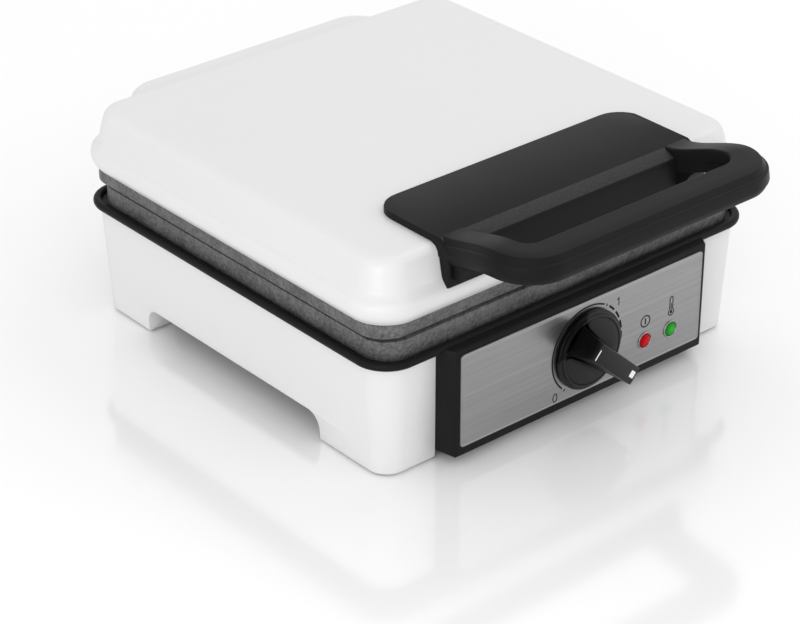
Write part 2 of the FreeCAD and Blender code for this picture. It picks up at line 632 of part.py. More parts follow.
def hinge():
    """Two posts on the base, four ears in the lid and two pins on one axis."""
    posts, ears, pins = [], [], []
    wall = f"{RIM_BACK} - housing_inset + 0.1"
    front, rear = f"{RIM_BACK} + 2.5", f"{RIM_BACK} + hump_reach - 3.5"
    for side, sign in SIDES.items():
        low = f"{sign}hinge_place - post_width / 2"
        profile = [(wall, "base_height - 22"), (wall, "base_height - 1"),
                   (front, "base_height - 1"), (front, HINGE_Z), (rear, HINGE_Z),
                   (rear, "base_height - 8")]
        arm = prism(f"post_{side}", profile, low, "post_width")
        start = (low, HINGE_Y, HINGE_Z)
        knuckle = rod(f"knuckle_{side}", "x", start, "knuckle_radius + 1", "post_width")
        eye = rod(f"eye_{side}", "x", start, "pin_radius + running_gap", "post_width")
        solid = fuse(f"bracket_{side}", [arm, knuckle])
        posts.append(cut(f"bracket_{side}_bored", solid, [eye]))
        for edge, offset in (("near", "-post_width / 2 - ear_gap - ear_width"),
                             ("far", "+ post_width / 2 + ear_gap")):
            origin = f"{sign}hinge_place {offset}"
            web = box(f"web_{side}_{edge}", (origin, f"{origin} + ear_width"),
                      (f"{HINGE_Y} - knuckle_radius", f"{HINGE_Y} + knuckle_radius"),
                      (HINGE_Z, f"{LIP} + hump_height - lid_wall"))
            lobe = rod(f"lobe_{side}_{edge}", "x", (origin, HINGE_Y, HINGE_Z),
                       "knuckle_radius", "ear_width")
            drill = rod(f"drill_{side}_{edge}", "x", (origin, HINGE_Y, HINGE_Z),
                        "pin_radius", "ear_width")
            blank = fuse(f"ear_{side}_{edge}", [web, lobe])
            ears.append(cut(f"ear_{side}_{edge}_bored", blank, [drill]))
        reach = "post_width + 2 * ear_gap + 2 * ear_width"
        pins.append(rod(f"pin_{side}", "x",
                        (f"{sign}hinge_place - ({reach}) / 2", HINGE_Y, HINGE_Z),
                        "pin_radius", reach))
    part("hinge_brackets", group("hinge_brackets", posts))
    part("lid_hinge_ears", group("lid_hinge_ears", ears))
    part("hinge_pins", group("hinge_pins", pins))


# ---- lid -------------------------------------------------------------------------------

LID = centred("rim_width - 2 * lid_inset", LID_FRONT, LID_BACK)
GRIP_SCREW_X = "grip_width / 2 - grip_arm / 2"
GRIP_SCREW_Z = f"{LIP} + 20"
PLATE_SCREW_Y = f"{LID_FRONT} + 30"


def lid_level(growth, height):
    return (grown(LID, growth), f"lid_radius + {growth}", f"{LIP} + {height}")


def lid_shell():
    """White cover with a bulging lip and a hump over the hinge."""
    dome = stack("lid_outer", [
        lid_level("0", "0"), lid_level("0.7 * lip_bulge", "2.5"),
        lid_level("lip_bulge", "6"), lid_level("0.6 * lip_bulge", "9.5"),
        lid_level("-0.5", "11.5"), lid_level("-4", "lid_height - 4.5"),
        lid_level("-5.2", "lid_height - 1.6"), lid_level("-7.5", "lid_height")])
    cavity = stack("lid_inner", [
        lid_level("-lid_wall", "0"), lid_level("-lid_wall", "8"),
        lid_level("-lid_wall - 4", "lid_height - 5"),
        lid_level("-lid_wall - 5.5", "lid_height - lid_wall")])
    back = f"{RIM_BACK} + hump_reach"
    hump_box = centred("hump_width", f"{LID_BACK} - 45", back)
    hump = stack("hump_outer", [
        (hump_box, "hump_radius", LIP),
        (hump_box, "hump_radius", f"{LIP} + hump_height - 6"),
        (grown(hump_box, "-1.8"), "hump_radius - 1.8", f"{LIP} + hump_height - 1.8"),
        (grown(hump_box, "-6"), "hump_radius - 6", f"{LIP} + hump_height")])
    room = rounded_block(
        "hump_inner", centred("hump_width - 2 * lid_wall", f"{LID_BACK} + 2.6",
                              f"{back} - lid_wall"), "hump_radius / 3", LIP,
        "hump_height - lid_wall")
    slots = []
    for side, sign in SIDES.items():
        half = "post_width / 2 + ear_gap"
        slots.append(box(f"slot_{side}",
                         (f"{sign}hinge_place - ({half})", f"{sign}hinge_place + {half}"),
                         (f"{RIM_BACK} + 1", f"{back} + 1"),
                         (f"{LIP} - 1", f"{HINGE_Z} + 11")))
    whole = fuse("lid_whole", [dome, hump])
    holes = []
    for side, sign in SIDES.items():
        holes.append(rod(f"lid_grip_hole_{side}", "y",
                         (f"{sign}({GRIP_SCREW_X})", f"{LID_FRONT} - 6", GRIP_SCREW_Z),
                         "screw_radius", "14"))
        holes.append(rod(f"lid_plate_hole_{side}", "z",
                         (f"{sign}hinge_place", PLATE_SCREW_Y, f"{LID_TOP} - 6"),
                         "screw_radius", "8"))
    part("lid_shell", cut("lid_shell", whole, [cavity, room, *slots, *holes]))


def upper_heating():
    edges = grown(LID, "-1.2")
    upper = waffle_plate("upper_plate_blank", edges, UPPER_FACE, UPPER_FACE, "upper_band",
                         UPPER_FACE, True)
    drilled("upper_waffle_plate", upper, f"{UPPER_BACK} - 7", "8")
    plate_pegs("upper_plate_pegs", f"{UPPER_FACE} + waffle_depth", True)
    heater("upper_heating_element", f"{UPPER_BACK} + heater_radius")
    shield = f"({UPPER_BACK} + shield_gap - 2)"
    heat_shield("upper_heat_shield", shield, False)
    standoffs("upper_standoffs", UPPER_BACK, "shield_gap - 2")
    screws("upper_plate_screws", PLATE_SCREWS, f"{shield} + shield_thickness",
           "screw_head_height", f"{UPPER_BACK} - 7",
           "shield_gap + shield_thickness - 2 + 8")
    part("thermal_fuse", rod("thermal_fuse", "x", ("-8", MIDDLE, f"{UPPER_BACK} + 2.2"),
                             "2.2", "16"))


# ---- handle ----------------------------------------------------------------------------

def handle_plate():
    """Black plate lying on the lid and folding down over its front edge."""
    slab = prism("handle_slab", [
        (f"{LID_FRONT} + handle_plate_length + 4", f"{LID_TOP} + seat_gap"),
        (f"{LID_FRONT} + handle_plate_length + 4", PLATE_TOP),
        (f"{LID_FRONT} + 4.5", PLATE_TOP),
        (f"{APRON} + 1", f"{LID_TOP} - 0.5"),
        (APRON, f"{PLATE_TOP} - apron_depth - plate_rise"),
        (f"{LID_FRONT} - 0.4", f"{PLATE_TOP} - apron_depth - plate_rise"),
        (f"{LID_FRONT} + 3.8", f"{LID_TOP} - 4.4"),
        (f"{LID_FRONT} + 5", f"{LID_TOP} - 1.4"),
        (f"{LID_FRONT} + 7.5", f"{LID_TOP} + seat_gap")],
        "-handle_width / 2", "handle_width")
    outline = rounded_block(
        "handle_plan", centred("handle_width", f"{APRON} - handle_radius",
                               f"{LID_FRONT} + handle_plate_length + 4"),
        "handle_radius", f"{LID_TOP} - 40", "60")
    blank = common("handle_plate_blank", slab, outline)
    holes = []
    for side, sign in SIDES.items():
        holes.append(rod(f"apron_hole_{side}", "y",
                         (f"{sign}({GRIP_SCREW_X})", f"{LID_FRONT} - 6", GRIP_SCREW_Z),
                         "screw_radius", "14"))
        holes.append(rod(f"plate_hole_{side}", "z",
                         (f"{sign}hinge_place", PLATE_SCREW_Y, LID_TOP), "screw_radius",
                         "2"))
    part("handle_plate", cut("handle_plate", blank, holes))


def handle_grip():
    """Loop grip: two arms that rise from the apron to a bar across the front."""
    outer = rounded_block("grip_outer", centred("grip_width", HANDLE_FRONT, LID_FRONT),
                          "handle_radius + 3", f"{LID_TOP} - 40", "60")
    inner = rounded_block(
        "grip_inner", centred("grip_width - 2 * grip_arm", f"{HANDLE_FRONT} + grip_depth",
                              f"{LID_FRONT} + 20"), "10", f"{LID_TOP} - 40", "60")
    loop = cut("grip_loop", outer, [inner])
    side = prism("grip_side", [
        (f"{APRON} - seat_gap", f"{LID_TOP} - 1.5"), (f"{APRON} - 7", f"{LID_TOP} + 2.5"),
        (f"{APRON} - 20", f"{GRIP_TOP} - 2"), (f"{APRON} - 28", GRIP_TOP),
        (f"{HANDLE_FRONT} + 5.5", GRIP_TOP), (HANDLE_FRONT, f"{GRIP_TOP} - 4.5"),
        (HANDLE_FRONT, f"{GRIP_TOP} - grip_height + 3.5"),
        (f"{HANDLE_FRONT} + 4", f"{GRIP_TOP} - grip_height"),
        (f"{HANDLE_FRONT} + grip_depth + 2", f"{GRIP_TOP} - grip_height"),
        (f"{APRON} - 20", f"{GRIP_TOP} - grip_height - 5"),
        (f"{APRON} - 9", f"{GRIP_TOP} - grip_height - 13"),
        (f"{APRON} - seat_gap", f"{PLATE_TOP} - apron_depth - plate_rise")],
        "-grip_width / 2", "grip_width")
    holes = [rod(f"grip_hole_{side_name}", "y",
                 (f"{sign}({GRIP_SCREW_X})", f"{APRON} - grip_screw_reach", GRIP_SCREW_Z),
                 "screw_radius", "grip_screw_reach + 2") for side_name, sign in SIDES.items()]
    part("handle_grip", cut("handle_grip", common("grip_blank", loop, side), holes))


def handle_screws():
    """Two screws up into the plate and two forward through the apron into the grip."""
    head = f"{LID_TOP} - lid_wall - screw_head_height"
    screws("handle_plate_screws", [("-hinge_place", PLATE_SCREW_Y),
                                   ("hinge_place", PLATE_SCREW_Y)],
           head, "screw_head_height", head, "screw_head_height + lid_wall + 2")
    solids = []
    for side, sign in SIDES.items():
        x = f"{sign}({GRIP_SCREW_X})"
        cap = rod(f"grip_cap_{side}", "y", (x, f"{LID_FRONT} + 6.3", GRIP_SCREW_Z),
                  "screw_head", "screw_head_height")
        shank = rod(f"grip_shank_{side}", "y",
                    (x, f"{APRON} - grip_screw_reach", GRIP_SCREW_Z), "screw_radius",
                    f"{LID_FRONT} + 7.3 - ({APRON} - grip_screw_reach)")
        solids.append(fuse(f"grip_screw_{side}", [cap, shank]))
    part("grip_screws", group("grip_screws", solids))


# ---- knob ------------------------------------------------------------------------------

def control_knob():
    """Disc with a raised bar, turned so that the bar points at the highest setting."""
    back = f"({PANEL_FACE} - knob_gap)"
    face = f"({back} - knob_disc)"
    disc = rod("knob_plate", "y", ("knob_place", face, "knob_level"), "knob_radius",
               "knob_disc")
    bar = prism("knob_bar_blank", [
        ("-knob_radius", "0"), ("knob_radius", "0"), ("knob_radius - 0.5", "knob_grip"),
        ("-0.62 * knob_radius", "knob_grip"), ("-0.8 * knob_radius", "0.55 * knob_grip")],
        "-knob_bar / 2", "knob_bar", "XY_Plane")
    turn_item(bar, face)
    bound = rod("knob_bound", "y", ("knob_place", f"{face} - knob_grip", "knob_level"),
                "knob_radius - 0.6", "knob_grip + 0.5")
    grip = common("knob_grip_bar", bar, bound)
    bore = rod("knob_bore", "y", ("knob_place", f"{back} - 9", "knob_level"),
               "shaft_radius", "9")
    marker = marker_block("knob_marker_blank")
    turn_item(marker, face)
    solid = fuse("knob_solid", [disc, grip])
    part("control_knob", cut("control_knob", solid, [bore, marker]))
    inlay = marker_block("knob_marker")
    turn_item(inlay, face)
    part("knob_marker", inlay)
    part("thermostat_shaft", rod("thermostat_shaft", "y",
                                 ("knob_place", f"{back} - 9", "knob_level"),
                                 "shaft_radius", f"{BEZEL_FRONT} + bezel_wall"
                                 f" + thermostat_length - 5 - ({back} - 9)"))


def marker_block(name):
    """White inlay near the end of the bar, flush with its face."""
    return prism(name, [
        ("knob_radius - 5.5", "knob_grip - 1"), ("knob_radius - 2", "knob_grip - 1"),
        ("knob_radius - 2", "knob_grip"), ("knob_radius - 5.5", "knob_grip")],
        "-1.8", "3.6", "XY_Plane")


def turn_item(item, face):
    """Stand a profile drawn as (along the bar, away from the panel) on the knob's face."""
    item.Placement = FreeCAD.Placement(FreeCAD.Vector(), knob_rotation())
    bind(item, "Placement.Base.x", "knob_place")
    bind(item, "Placement.Base.y", face)
    bind(item, "Placement.Base.z", "knob_level")


def knob_rotation():
    """Profile X along the pointer, profile Y out of the panel."""
    angle = math.radians(SIZES["knob_angle"])
    along = FreeCAD.Vector(math.cos(angle), 0, math.sin(angle))
    outward = FreeCAD.Vector(0, -1, 0)
    return FreeCAD.Rotation(along, outward, along.cross(outward), "XYZ")


# ---- build and write -------------------------------------------------------------------

def build():
    fill_sheet()
    for maker in (base_housing, base_surround, control_plate, lower_heating, bottom_pieces,
                  control_pieces, cord_gland, hinge, lid_shell, upper_heating, handle_plate,
                  handle_grip, handle_screws, control_knob):
        maker()
    MODEL.recompute()


def check():
    """Stop if any object failed or any sub-part has no valid solid."""
    faults = [item.Name for item in MODEL.Objects
              if {"Invalid", "Error"} & set(item.State)]
    for name, item in PARTS.items():
        shape = item.Shape
        if shape.isNull() or not shape.isValid() or not shape.Solids:
            faults.append(name)
    if faults:
        raise RuntimeError(f"failed objects: {faults}")


def write():
    os.makedirs("parts", exist_ok=True)
    for name, item in PARTS.items():
        item.Shape.exportStep(f"parts/{name}.step")


build()
check()
write()
for part_name, part_item in PARTS.items():
    extent = part_item.Shape.BoundBox
    print(f"{part_name:24s} solids {len(part_item.Shape.Solids):3d}"
          f"  volume {part_item.Shape.Volume:10.0f}"
          f"  x {extent.XMin:7.1f} {extent.XMax:7.1f}  y {extent.YMin:7.1f} {extent.YMax:7.1f}"
          f"  z {extent.ZMin:6.1f} {extent.ZMax:6.1f}")
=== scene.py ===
import logging
import math
from collections.abc import Iterable, Sequence
from dataclasses import dataclass, replace
from enum import Enum

import bmesh
import bpy
from mathutils import Matrix, Vector


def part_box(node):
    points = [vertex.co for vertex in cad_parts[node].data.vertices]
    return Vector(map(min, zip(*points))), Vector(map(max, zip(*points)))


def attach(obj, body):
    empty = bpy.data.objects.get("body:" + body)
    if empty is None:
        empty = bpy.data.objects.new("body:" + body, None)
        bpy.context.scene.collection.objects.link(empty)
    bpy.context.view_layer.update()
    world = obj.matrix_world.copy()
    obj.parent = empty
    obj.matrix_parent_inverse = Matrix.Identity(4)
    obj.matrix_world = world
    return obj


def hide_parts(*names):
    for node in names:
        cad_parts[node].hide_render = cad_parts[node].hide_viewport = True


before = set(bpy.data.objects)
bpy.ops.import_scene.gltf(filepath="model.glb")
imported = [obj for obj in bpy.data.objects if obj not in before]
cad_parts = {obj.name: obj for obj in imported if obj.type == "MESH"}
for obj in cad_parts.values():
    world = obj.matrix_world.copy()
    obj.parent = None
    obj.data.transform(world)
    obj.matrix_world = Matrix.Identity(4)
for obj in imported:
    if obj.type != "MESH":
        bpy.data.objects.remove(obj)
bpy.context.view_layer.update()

LOG = logging.getLogger("waffle_maker")
MM = 0.001
Loop = list[Vector]
Pair = tuple[float, float]


# ---- shader expressions ----------------------------------------------------------------

class Wire:
    """A shader socket that takes part in Python arithmetic."""

    def __init__(self, shade: "Shade", socket: bpy.types.NodeSocket) -> None:
        """Remember the socket and the node tree that it belongs to."""
        self.shade = shade
        self.socket = socket

    def _math(self, operation: str, first: object, second: object) -> "Wire":
        """Add one Math node.

        Args:
            operation: Blender's name of the operation.
            first: left operand, a wire or a number.
            second: right operand, a wire or a number.

        Returns:
            The result's wire.
        """
        return self.shade.node("ShaderNodeMath", {"operation": operation},
                               {0: first, 1: second})

    def __add__(self, other: object) -> "Wire":
        """Sum."""
        return self._math("ADD", self, other)

    __radd__ = __add__

    def __sub__(self, other: object) -> "Wire":
        """Difference."""
        return self._math("SUBTRACT", self, other)

    def __rsub__(self, other: object) -> "Wire":
        """Difference with the wire on the right."""
        return self._math("SUBTRACT", other, self)

    def __mul__(self, other: object) -> "Wire":
        """Product."""
        return self._math("MULTIPLY", self, other)

    __rmul__ = __mul__


class Shade:
    """The node tree of one material."""

    def __init__(self, name: str) -> None:
        """Start an empty material with a principled shader on its output.

        Args:
            name: the material's name.
        """
        self.material = bpy.data.materials.new(name)
        self.material.use_nodes = True
        self.tree = self.material.node_tree
        self.tree.nodes.clear()
        self.surface = self.tree.nodes.new("ShaderNodeBsdfPrincipled")
        output = self.tree.nodes.new("ShaderNodeOutputMaterial")
        self.tree.links.new(self.surface.outputs[0], output.inputs["Surface"])
        self.place = self.node("ShaderNodeTexCoord", out="Object")

    def node(self, kind: str, settings: dict | None = None, sockets: dict | None = None,
             out: str | int = 0) -> Wire:
        """Add a node of any kind.

        Args:
            kind: the node's type name.
            settings: attributes set first; "stops" gives a ramp its (place, colour) pairs.
            sockets: value or wire for each input, by name or number.
            out: output to return, by name or number.

        Returns:
            The chosen output as a wire.
        """
        made = self.tree.nodes.new(kind)
        for key, value in (settings or {}).items():
            if key == "stops":
                self._stops(made.color_ramp, value)
            else:
                setattr(made, key, value)
        for key, value in (sockets or {}).items():
            self._feed(made.inputs[key], value)
        return Wire(self, made.outputs[out])

    @staticmethod
    def _stops(ramp: bpy.types.ColorRamp, stops: Sequence[tuple]) -> None:
        """Give a ramp its stops.

        Args:
            ramp: the ramp, which starts with two stops.
            stops: pairs of place and colour, in order.
        """
        while len(ramp.elements) < len(stops):
            ramp.elements.new(1.0)
        for element, (place, colour) in zip(ramp.elements, stops):
            element.position = place
            element.color = (*colour, 1.0)

    def _feed(self, socket: bpy.types.NodeSocket, value: object) -> None:
        """Link a wire to a socket, or set the socket's own value.

        Args:
            socket: the input that is fed.
            value: a wire, or what the socket itself holds.
        """
        if isinstance(value, Wire):
            self.tree.links.new(value.socket, socket)
        else:
            socket.default_value = value

    def set(self, **inputs: object) -> None:
        """Set the principled shader's sockets.

        Args:
            inputs: value or wire by socket name, with underscores for spaces.
        """
        for key, value in inputs.items():
            self._feed(self.surface.inputs[key.replace("_", " ")], value)

    def stretched(self, scale: Sequence[float]) -> Wire:
        """Object coordinates scaled along each axis."""
        return self.node("ShaderNodeVectorMath", {"operation": "MULTIPLY"},
                         {0: self.place, 1: tuple(scale)})

    def noise(self, scale: float, detail: float = 3.0, roughness: float = 0.5,
              place: Wire | None = None) -> Wire:
        """Noise between 0 and 1.

        Args:
            scale: cells per metre.
            detail: octaves.
            roughness: strength of the finer octaves.
            place: coordinates, the object's own if left out.

        Returns:
            The noise as a wire.
        """
        return self.node("ShaderNodeTexNoise", None,
                         {"Vector": place or self.place, "Scale": scale,
                          "Detail": detail, "Roughness": roughness})

    def tint(self, mask: Wire, low: Sequence[float], high: Sequence[float],
             start: float = 0.0, end: float = 1.0) -> Wire:
        """Colour that runs from low to high as a mask rises from start to end.

        Args:
            mask: what steers the colour.
            low: colour below start.
            high: colour above end.
            start: the mask where the change begins.
            end: the mask where it is over.

        Returns:
            The colour as a wire.
        """
        return self.node("ShaderNodeValToRGB", {"stops": [(start, low), (end, high)]},
                         {"Fac": mask})

    def rise(self, mask: Wire, start: float, end: float) -> Wire:
        """Value that goes from 0 to 1 while a mask goes from start to end."""
        return self.node("ShaderNodeMapRange", {"clamp": True},
                         {"Value": mask, "From Min": start, "From Max": end})

    def bump(self, height: Wire, distance: float) -> Wire:
        """Surface normal shaped by a height between 0 and 1 times a distance."""
        return self.node("ShaderNodeBump", None, {"Height": height, "Distance": distance})


# ---- finishes --------------------------------------------------------------------------

@dataclass(frozen=True)
class Finish:
    """A finish with a name; its material is made once."""

    name: str

    def material(self) -> bpy.types.Material:
        """The finish's material, made at the first call."""
        known = bpy.data.materials.get(self.name)
        return known or self.make(Shade(self.name))

    def make(self, shade: Shade) -> bpy.types.Material:
        """Build the nodes; each kind of finish has its own."""
        raise NotImplementedError


@dataclass(frozen=True)
class Moulding(Finish):
    """Injection-moulded plastic: fine tool grain, faint flow marks, even colour."""

    colour: tuple[float, float, float]
    roughness: float
    grain: float
    grain_scale: float = 1400.0
    variation: float = 0.04
    coat: float = 0.0
    specular: float = 0.5
    # painted highlight: a lighter speckled band over the colour, where a sloping face catches
    # the light
    painted_sheen_band: tuple[float, float, float, float] | None = None

    def make(self, shade: Shade) -> bpy.types.Material:
        """Colour drifts slightly; roughness follows the grain.

        A painted sheen band is a painted highlight on a sloping face, given by a start and an
        end along Y, its reach to both sides of the middle, and the grey of its speckles.

        Args:
            shade: the empty material.

        Returns:
            The finished material.
        """
        drift = shade.noise(9.0, 2.0)
        grain = shade.noise(self.grain_scale, 4.0, 0.6)
        smudge = shade.noise(38.0, 5.0, 0.65)
        low = tuple(c * (1 - self.variation) for c in self.colour)
        high = tuple(min(1.0, c * (1 + self.variation)) for c in self.colour)
        colour = shade.tint(drift, low, high, 0.3, 0.7)
        # painted highlight laid over the colour on the sloping face
        if self.painted_sheen_band:
            colour = self._lay_painted_sheen(shade, colour, *self.painted_sheen_band)
        shade.set(Base_Color=colour,
                  Roughness=self.roughness + (smudge - 0.5) * 0.1 + (grain - 0.5) * 0.06,
                  Normal=shade.bump(grain, self.grain * MM),
                  Specular_IOR_Level=self.specular,
                  Coat_Weight=self.coat, Coat_Roughness=0.12)
        return shade.material

    @staticmethod
    def _lay_painted_sheen(shade: Shade, colour: Wire, start: float, end: float, reach: float,
                grey: float) -> Wire:
        """Lay a speckled lighter band over a colour: a painted highlight that stands in for
        the light a sloping face catches.

        Args:
            shade: the material that the nodes go in.
            colour: what shows outside the band.
            start: where the band begins along Y.
            end: where it ends.
            reach: how far it goes to both sides of the middle.
            grey: its mean grey.

        Returns:
            The colour with its painted highlight.
        """
        edge = 0.4 * MM
        along, across = (shade.node("ShaderNodeSeparateXYZ", None, {0: shade.place}, axis)
                         for axis in "YX")
        inside = shade.node("ShaderNodeMath", {"operation": "LESS_THAN"},
                            {0: across * across, 1: reach ** 2})
        between = shade.rise(along, start, start + edge) * shade.rise(along, end, end - edge)
        speckle = shade.noise(1100.0, 3.0, 0.6)
        light = shade.tint(speckle, (grey * 0.75,) * 3, (grey * 1.25,) * 3, 0.3, 0.7)
        return shade.node("ShaderNodeMix", {"data_type": "RGBA"},
                          {0: between * inside, 6: colour, 7: light}, 2)


@dataclass(frozen=True)
class ShadedBeyondLine(Moulding):
    """Moulding with painted shade: it turns deep black beyond a line across the part, where a
    recess lies in shade.
    """

    across: tuple[float, float, float] = (1.0, 0.0, 0.0)
    shade_limit: float = 0.0

    def make(self, shade: Shade) -> bpy.types.Material:
        """Painted shade: black metal, which reflects almost nothing, takes the place of the
        plastic beyond the line.

        Args:
            shade: the empty material.

        Returns:
            The finished material.
        """
        super().make(shade)
        along = shade.node("ShaderNodeVectorMath", {"operation": "DOT_PRODUCT"},
                           {0: shade.place, 1: self.across}, "Value")
        # painted shade: deep black beyond the line darkens the recess
        shade.set(Metallic=shade.rise(along, self.shade_limit, self.shade_limit - 0.3 * MM))
        return shade.material


@dataclass(frozen=True)
class Casting(Finish):
    """Non-stick coating over a rough casting, rubbed lighter in thin strokes."""

    colour: tuple[float, float, float]
    worn: tuple[float, float, float]
    roughness: float = 0.5

    def make(self, shade: Shade) -> bpy.types.Material:
        """Pitted coating with slanting rub marks.

        Args:
            shade: the empty material.

        Returns:
            The finished material.
        """
        pits = shade.noise(520.0, 5.0, 0.65)
        speckle = shade.noise(760.0, 4.0, 0.75)
        turned = shade.node("ShaderNodeVectorRotate", {"rotation_type": "EULER_XYZ"},
                            {"Vector": shade.place, "Rotation": (0.75, -0.75, 0.0)})
        slanted = shade.node("ShaderNodeVectorMath", {"operation": "MULTIPLY"},
                             {0: turned, 1: (560.0, 560.0, 90.0)})
        strokes = shade.noise(1.0, 4.0, 0.6, slanted)
        patches = shade.noise(70.0, 3.0, 0.5)
        mix = strokes * 0.3 + patches * 0.2 + speckle * 0.5
        rub = shade.rise(mix, 0.4, 0.66)
        shade.set(Base_Color=shade.tint(rub, self.colour, self.worn),
                  Roughness=self.roughness + (speckle - 0.5) * 0.3,
                  Metallic=rub * 0.2,
                  Normal=shade.bump(pits * 0.6 + speckle * 0.4, 0.6 * MM))
        return shade.material


@dataclass(frozen=True)
class BrushedSheet(Finish):
    """Steel sheet brushed along X."""

    colour: tuple[float, float, float]
    roughness: float = 0.34

    def make(self, shade: Shade) -> bpy.types.Material:
        """Long fine hairs in colour, roughness and relief.

        Args:
            shade: the empty material.

        Returns:
            The finished material.
        """
        hairs = shade.noise(1.0, 5.0, 0.65, shade.stretched((26.0, 2600.0, 5200.0)))
        bands = shade.noise(1.0, 3.0, 0.5, shade.stretched((7.0, 300.0, 900.0)))
        mix = hairs * 0.65 + bands * 0.35
        low = tuple(c * 0.8 for c in self.colour)
        high = tuple(min(1.0, c * 1.12) for c in self.colour)
        shade.set(Base_Color=shade.tint(mix, low, high, 0.32, 0.7), Metallic=1.0,
                  Roughness=self.roughness + (mix - 0.5) * 0.22,
                  Normal=shade.bump(hairs, 0.022 * MM), Anisotropic=0.5)
        return shade.material


@dataclass(frozen=True)
class Metal(Finish):
    """Plated or plain metal with a faint mottle and handling marks."""

    colour: tuple[float, float, float]
    roughness: float
    mottle: float = 0.12

    def make(self, shade: Shade) -> bpy.types.Material:
        """Mottled colour and roughness over a slight ripple.

        Args:
            shade: the empty material.

        Returns:
            The finished material.
        """
        cloud = shade.noise(160.0, 4.0, 0.6)
        marks = shade.noise(1.0, 4.0, 0.6, shade.stretched((1400.0, 260.0, 700.0)))
        low = tuple(c * (1 - self.mottle) for c in self.colour)
        shade.set(Base_Color=shade.tint(cloud, low, self.colour, 0.3, 0.7), Metallic=1.0,
                  Roughness=self.roughness + (cloud - 0.5) * 0.2 + (marks - 0.5) * 0.1,
                  Normal=shade.bump(marks, 0.03 * MM))
        return shade.material


@dataclass(frozen=True)
class Lens(Finish):
    """Coloured lamp lens: deeper colour at its edge and a bright moulded core."""

    colour: tuple[float, float, float]
    core: tuple[float, float, float]
    glow: float
    centre: tuple[float, float]
    radius: float

    def make(self, shade: Shade) -> bpy.types.Material:
        """Colour and a weak glow that fade from the lens's middle.

        Args:
            shade: the empty material.

        Returns:
            The finished material.
        """
        offset = shade.node("ShaderNodeVectorMath", {"operation": "SUBTRACT"},
                            {0: shade.place, 1: (self.centre[0], 0.0, self.centre[1])})
        flat = shade.node("ShaderNodeVectorMath", {"operation": "MULTIPLY"},
                          {0: offset, 1: (1.0, 0.0, 1.0)})
        reach = shade.node("ShaderNodeVectorMath", {"operation": "LENGTH"}, {0: flat},
                           "Value") * (1 / self.radius)
        frost = shade.noise(900.0, 2.0)
        fade = reach + (frost - 0.5) * 0.12
        body = shade.tint(fade, self.core, self.colour, 0.15, 0.95)
        shade.set(Base_Color=body, Emission_Color=body, Emission_Strength=self.glow,
                  Roughness=0.22 + (frost - 0.5) * 0.08, Specular_IOR_Level=0.08,
                  Normal=shade.bump(frost, 0.02 * MM))
        return shade.material


WHITE = Moulding("white_gloss_plastic", (0.72, 0.72, 0.72), 0.36, 0.002, 1600.0,
                 variation=0.004, coat=0.06)
BLACK = Moulding("black_satin_plastic", (0.008, 0.008, 0.0084), 0.42, 0.02, 1500.0,
                 variation=0.1, specular=0.09)
KNOB_BLACK_WITH_PAINTED_SHADE = ShadedBeyondLine("black_knob_plastic_painted_shade", (0.009, 0.009, 0.0093), 0.36, 0.012, 1500.0,
                      variation=0.1, specular=0.2)
CAST = Casting("rubbed_casting", (0.045, 0.045, 0.0455), (0.21, 0.21, 0.211))
STEEL = BrushedSheet("brushed_panel_steel", (0.325, 0.325, 0.328))
ZINC = Metal("plated_fasteners", (0.6, 0.6, 0.6), 0.34)
TRAY = Metal("shield_sheet", (0.58, 0.59, 0.6), 0.3)
TUBE = Metal("heater_tube", (0.24, 0.2, 0.18), 0.5, 0.35)
CHROME = Metal("lamp_ring_chrome", (0.3, 0.3, 0.305), 0.2, 0.04)
RUBBER = Moulding("black_rubber", (0.014, 0.014, 0.014), 0.72, 0.05, 900.0,
                  variation=0.15, specular=0.3)
CERAMIC = Moulding("pale_ceramic", (0.62, 0.59, 0.52), 0.6, 0.05, 700.0, variation=0.06)
PRINT = Moulding("black_print", (0.006, 0.006, 0.0065), 0.6, 0.008, 2200.0,
                 variation=0.1, specular=0.2)
# white for the knob's pointer mark, and for a painted highlight on the edge at the bar's tail
WHITE_MARK_AND_HIGHLIGHT = Moulding("white_marker_and_painted_highlight", (0.8, 0.8, 0.79), 0.42, 0.01, 1800.0, variation=0.02)


# ---- mesh tools ------------------------------------------------------------------------

@dataclass(frozen=True)
class Plan:
    """Rounded rectangle seen from above."""

    left: float
    right: float
    front: float
    back: float
    radius: float
    steps: int = 14

    def grown(self, growth: float) -> "Plan":
        """The same outline moved outwards by a distance.

        Args:
            growth: the distance, negative to move inwards.

        Returns:
            The new outline, its corners moved with it.
        """
        return Plan(self.left - growth, self.right + growth, self.front - growth,
                    self.back + growth, max(self.radius + growth, min(self.radius, 0.8 * MM)),
                    self.steps)

    def loop(self, level: float) -> Loop:
        """Points round the outline, anticlockwise from above.

        Args:
            level: height of the loop.

        Returns:
            The loop's points, with arcs at the corners.
        """
        r = self.radius
        centres = ((self.right - r, self.front + r), (self.right - r, self.back - r),
                   (self.left + r, self.back - r), (self.left + r, self.front + r))
        points = []
        for quarter, (x, y) in enumerate(centres):
            for step in range(self.steps + 1):
                turn = math.radians(90 * (quarter - 1) + 90 * step / self.steps)
                points.append(Vector((x + r * math.cos(turn), y + r * math.sin(turn),
                                      level)))
        return points


def upright(plan: Plan, growth: float, level: float) -> Loop:
    """Outline stood up to face the front, grown by a distance, at a place along Y."""
    return [Vector((p.x, level, p.y)) for p in plan.grown(growth).loop(0)]


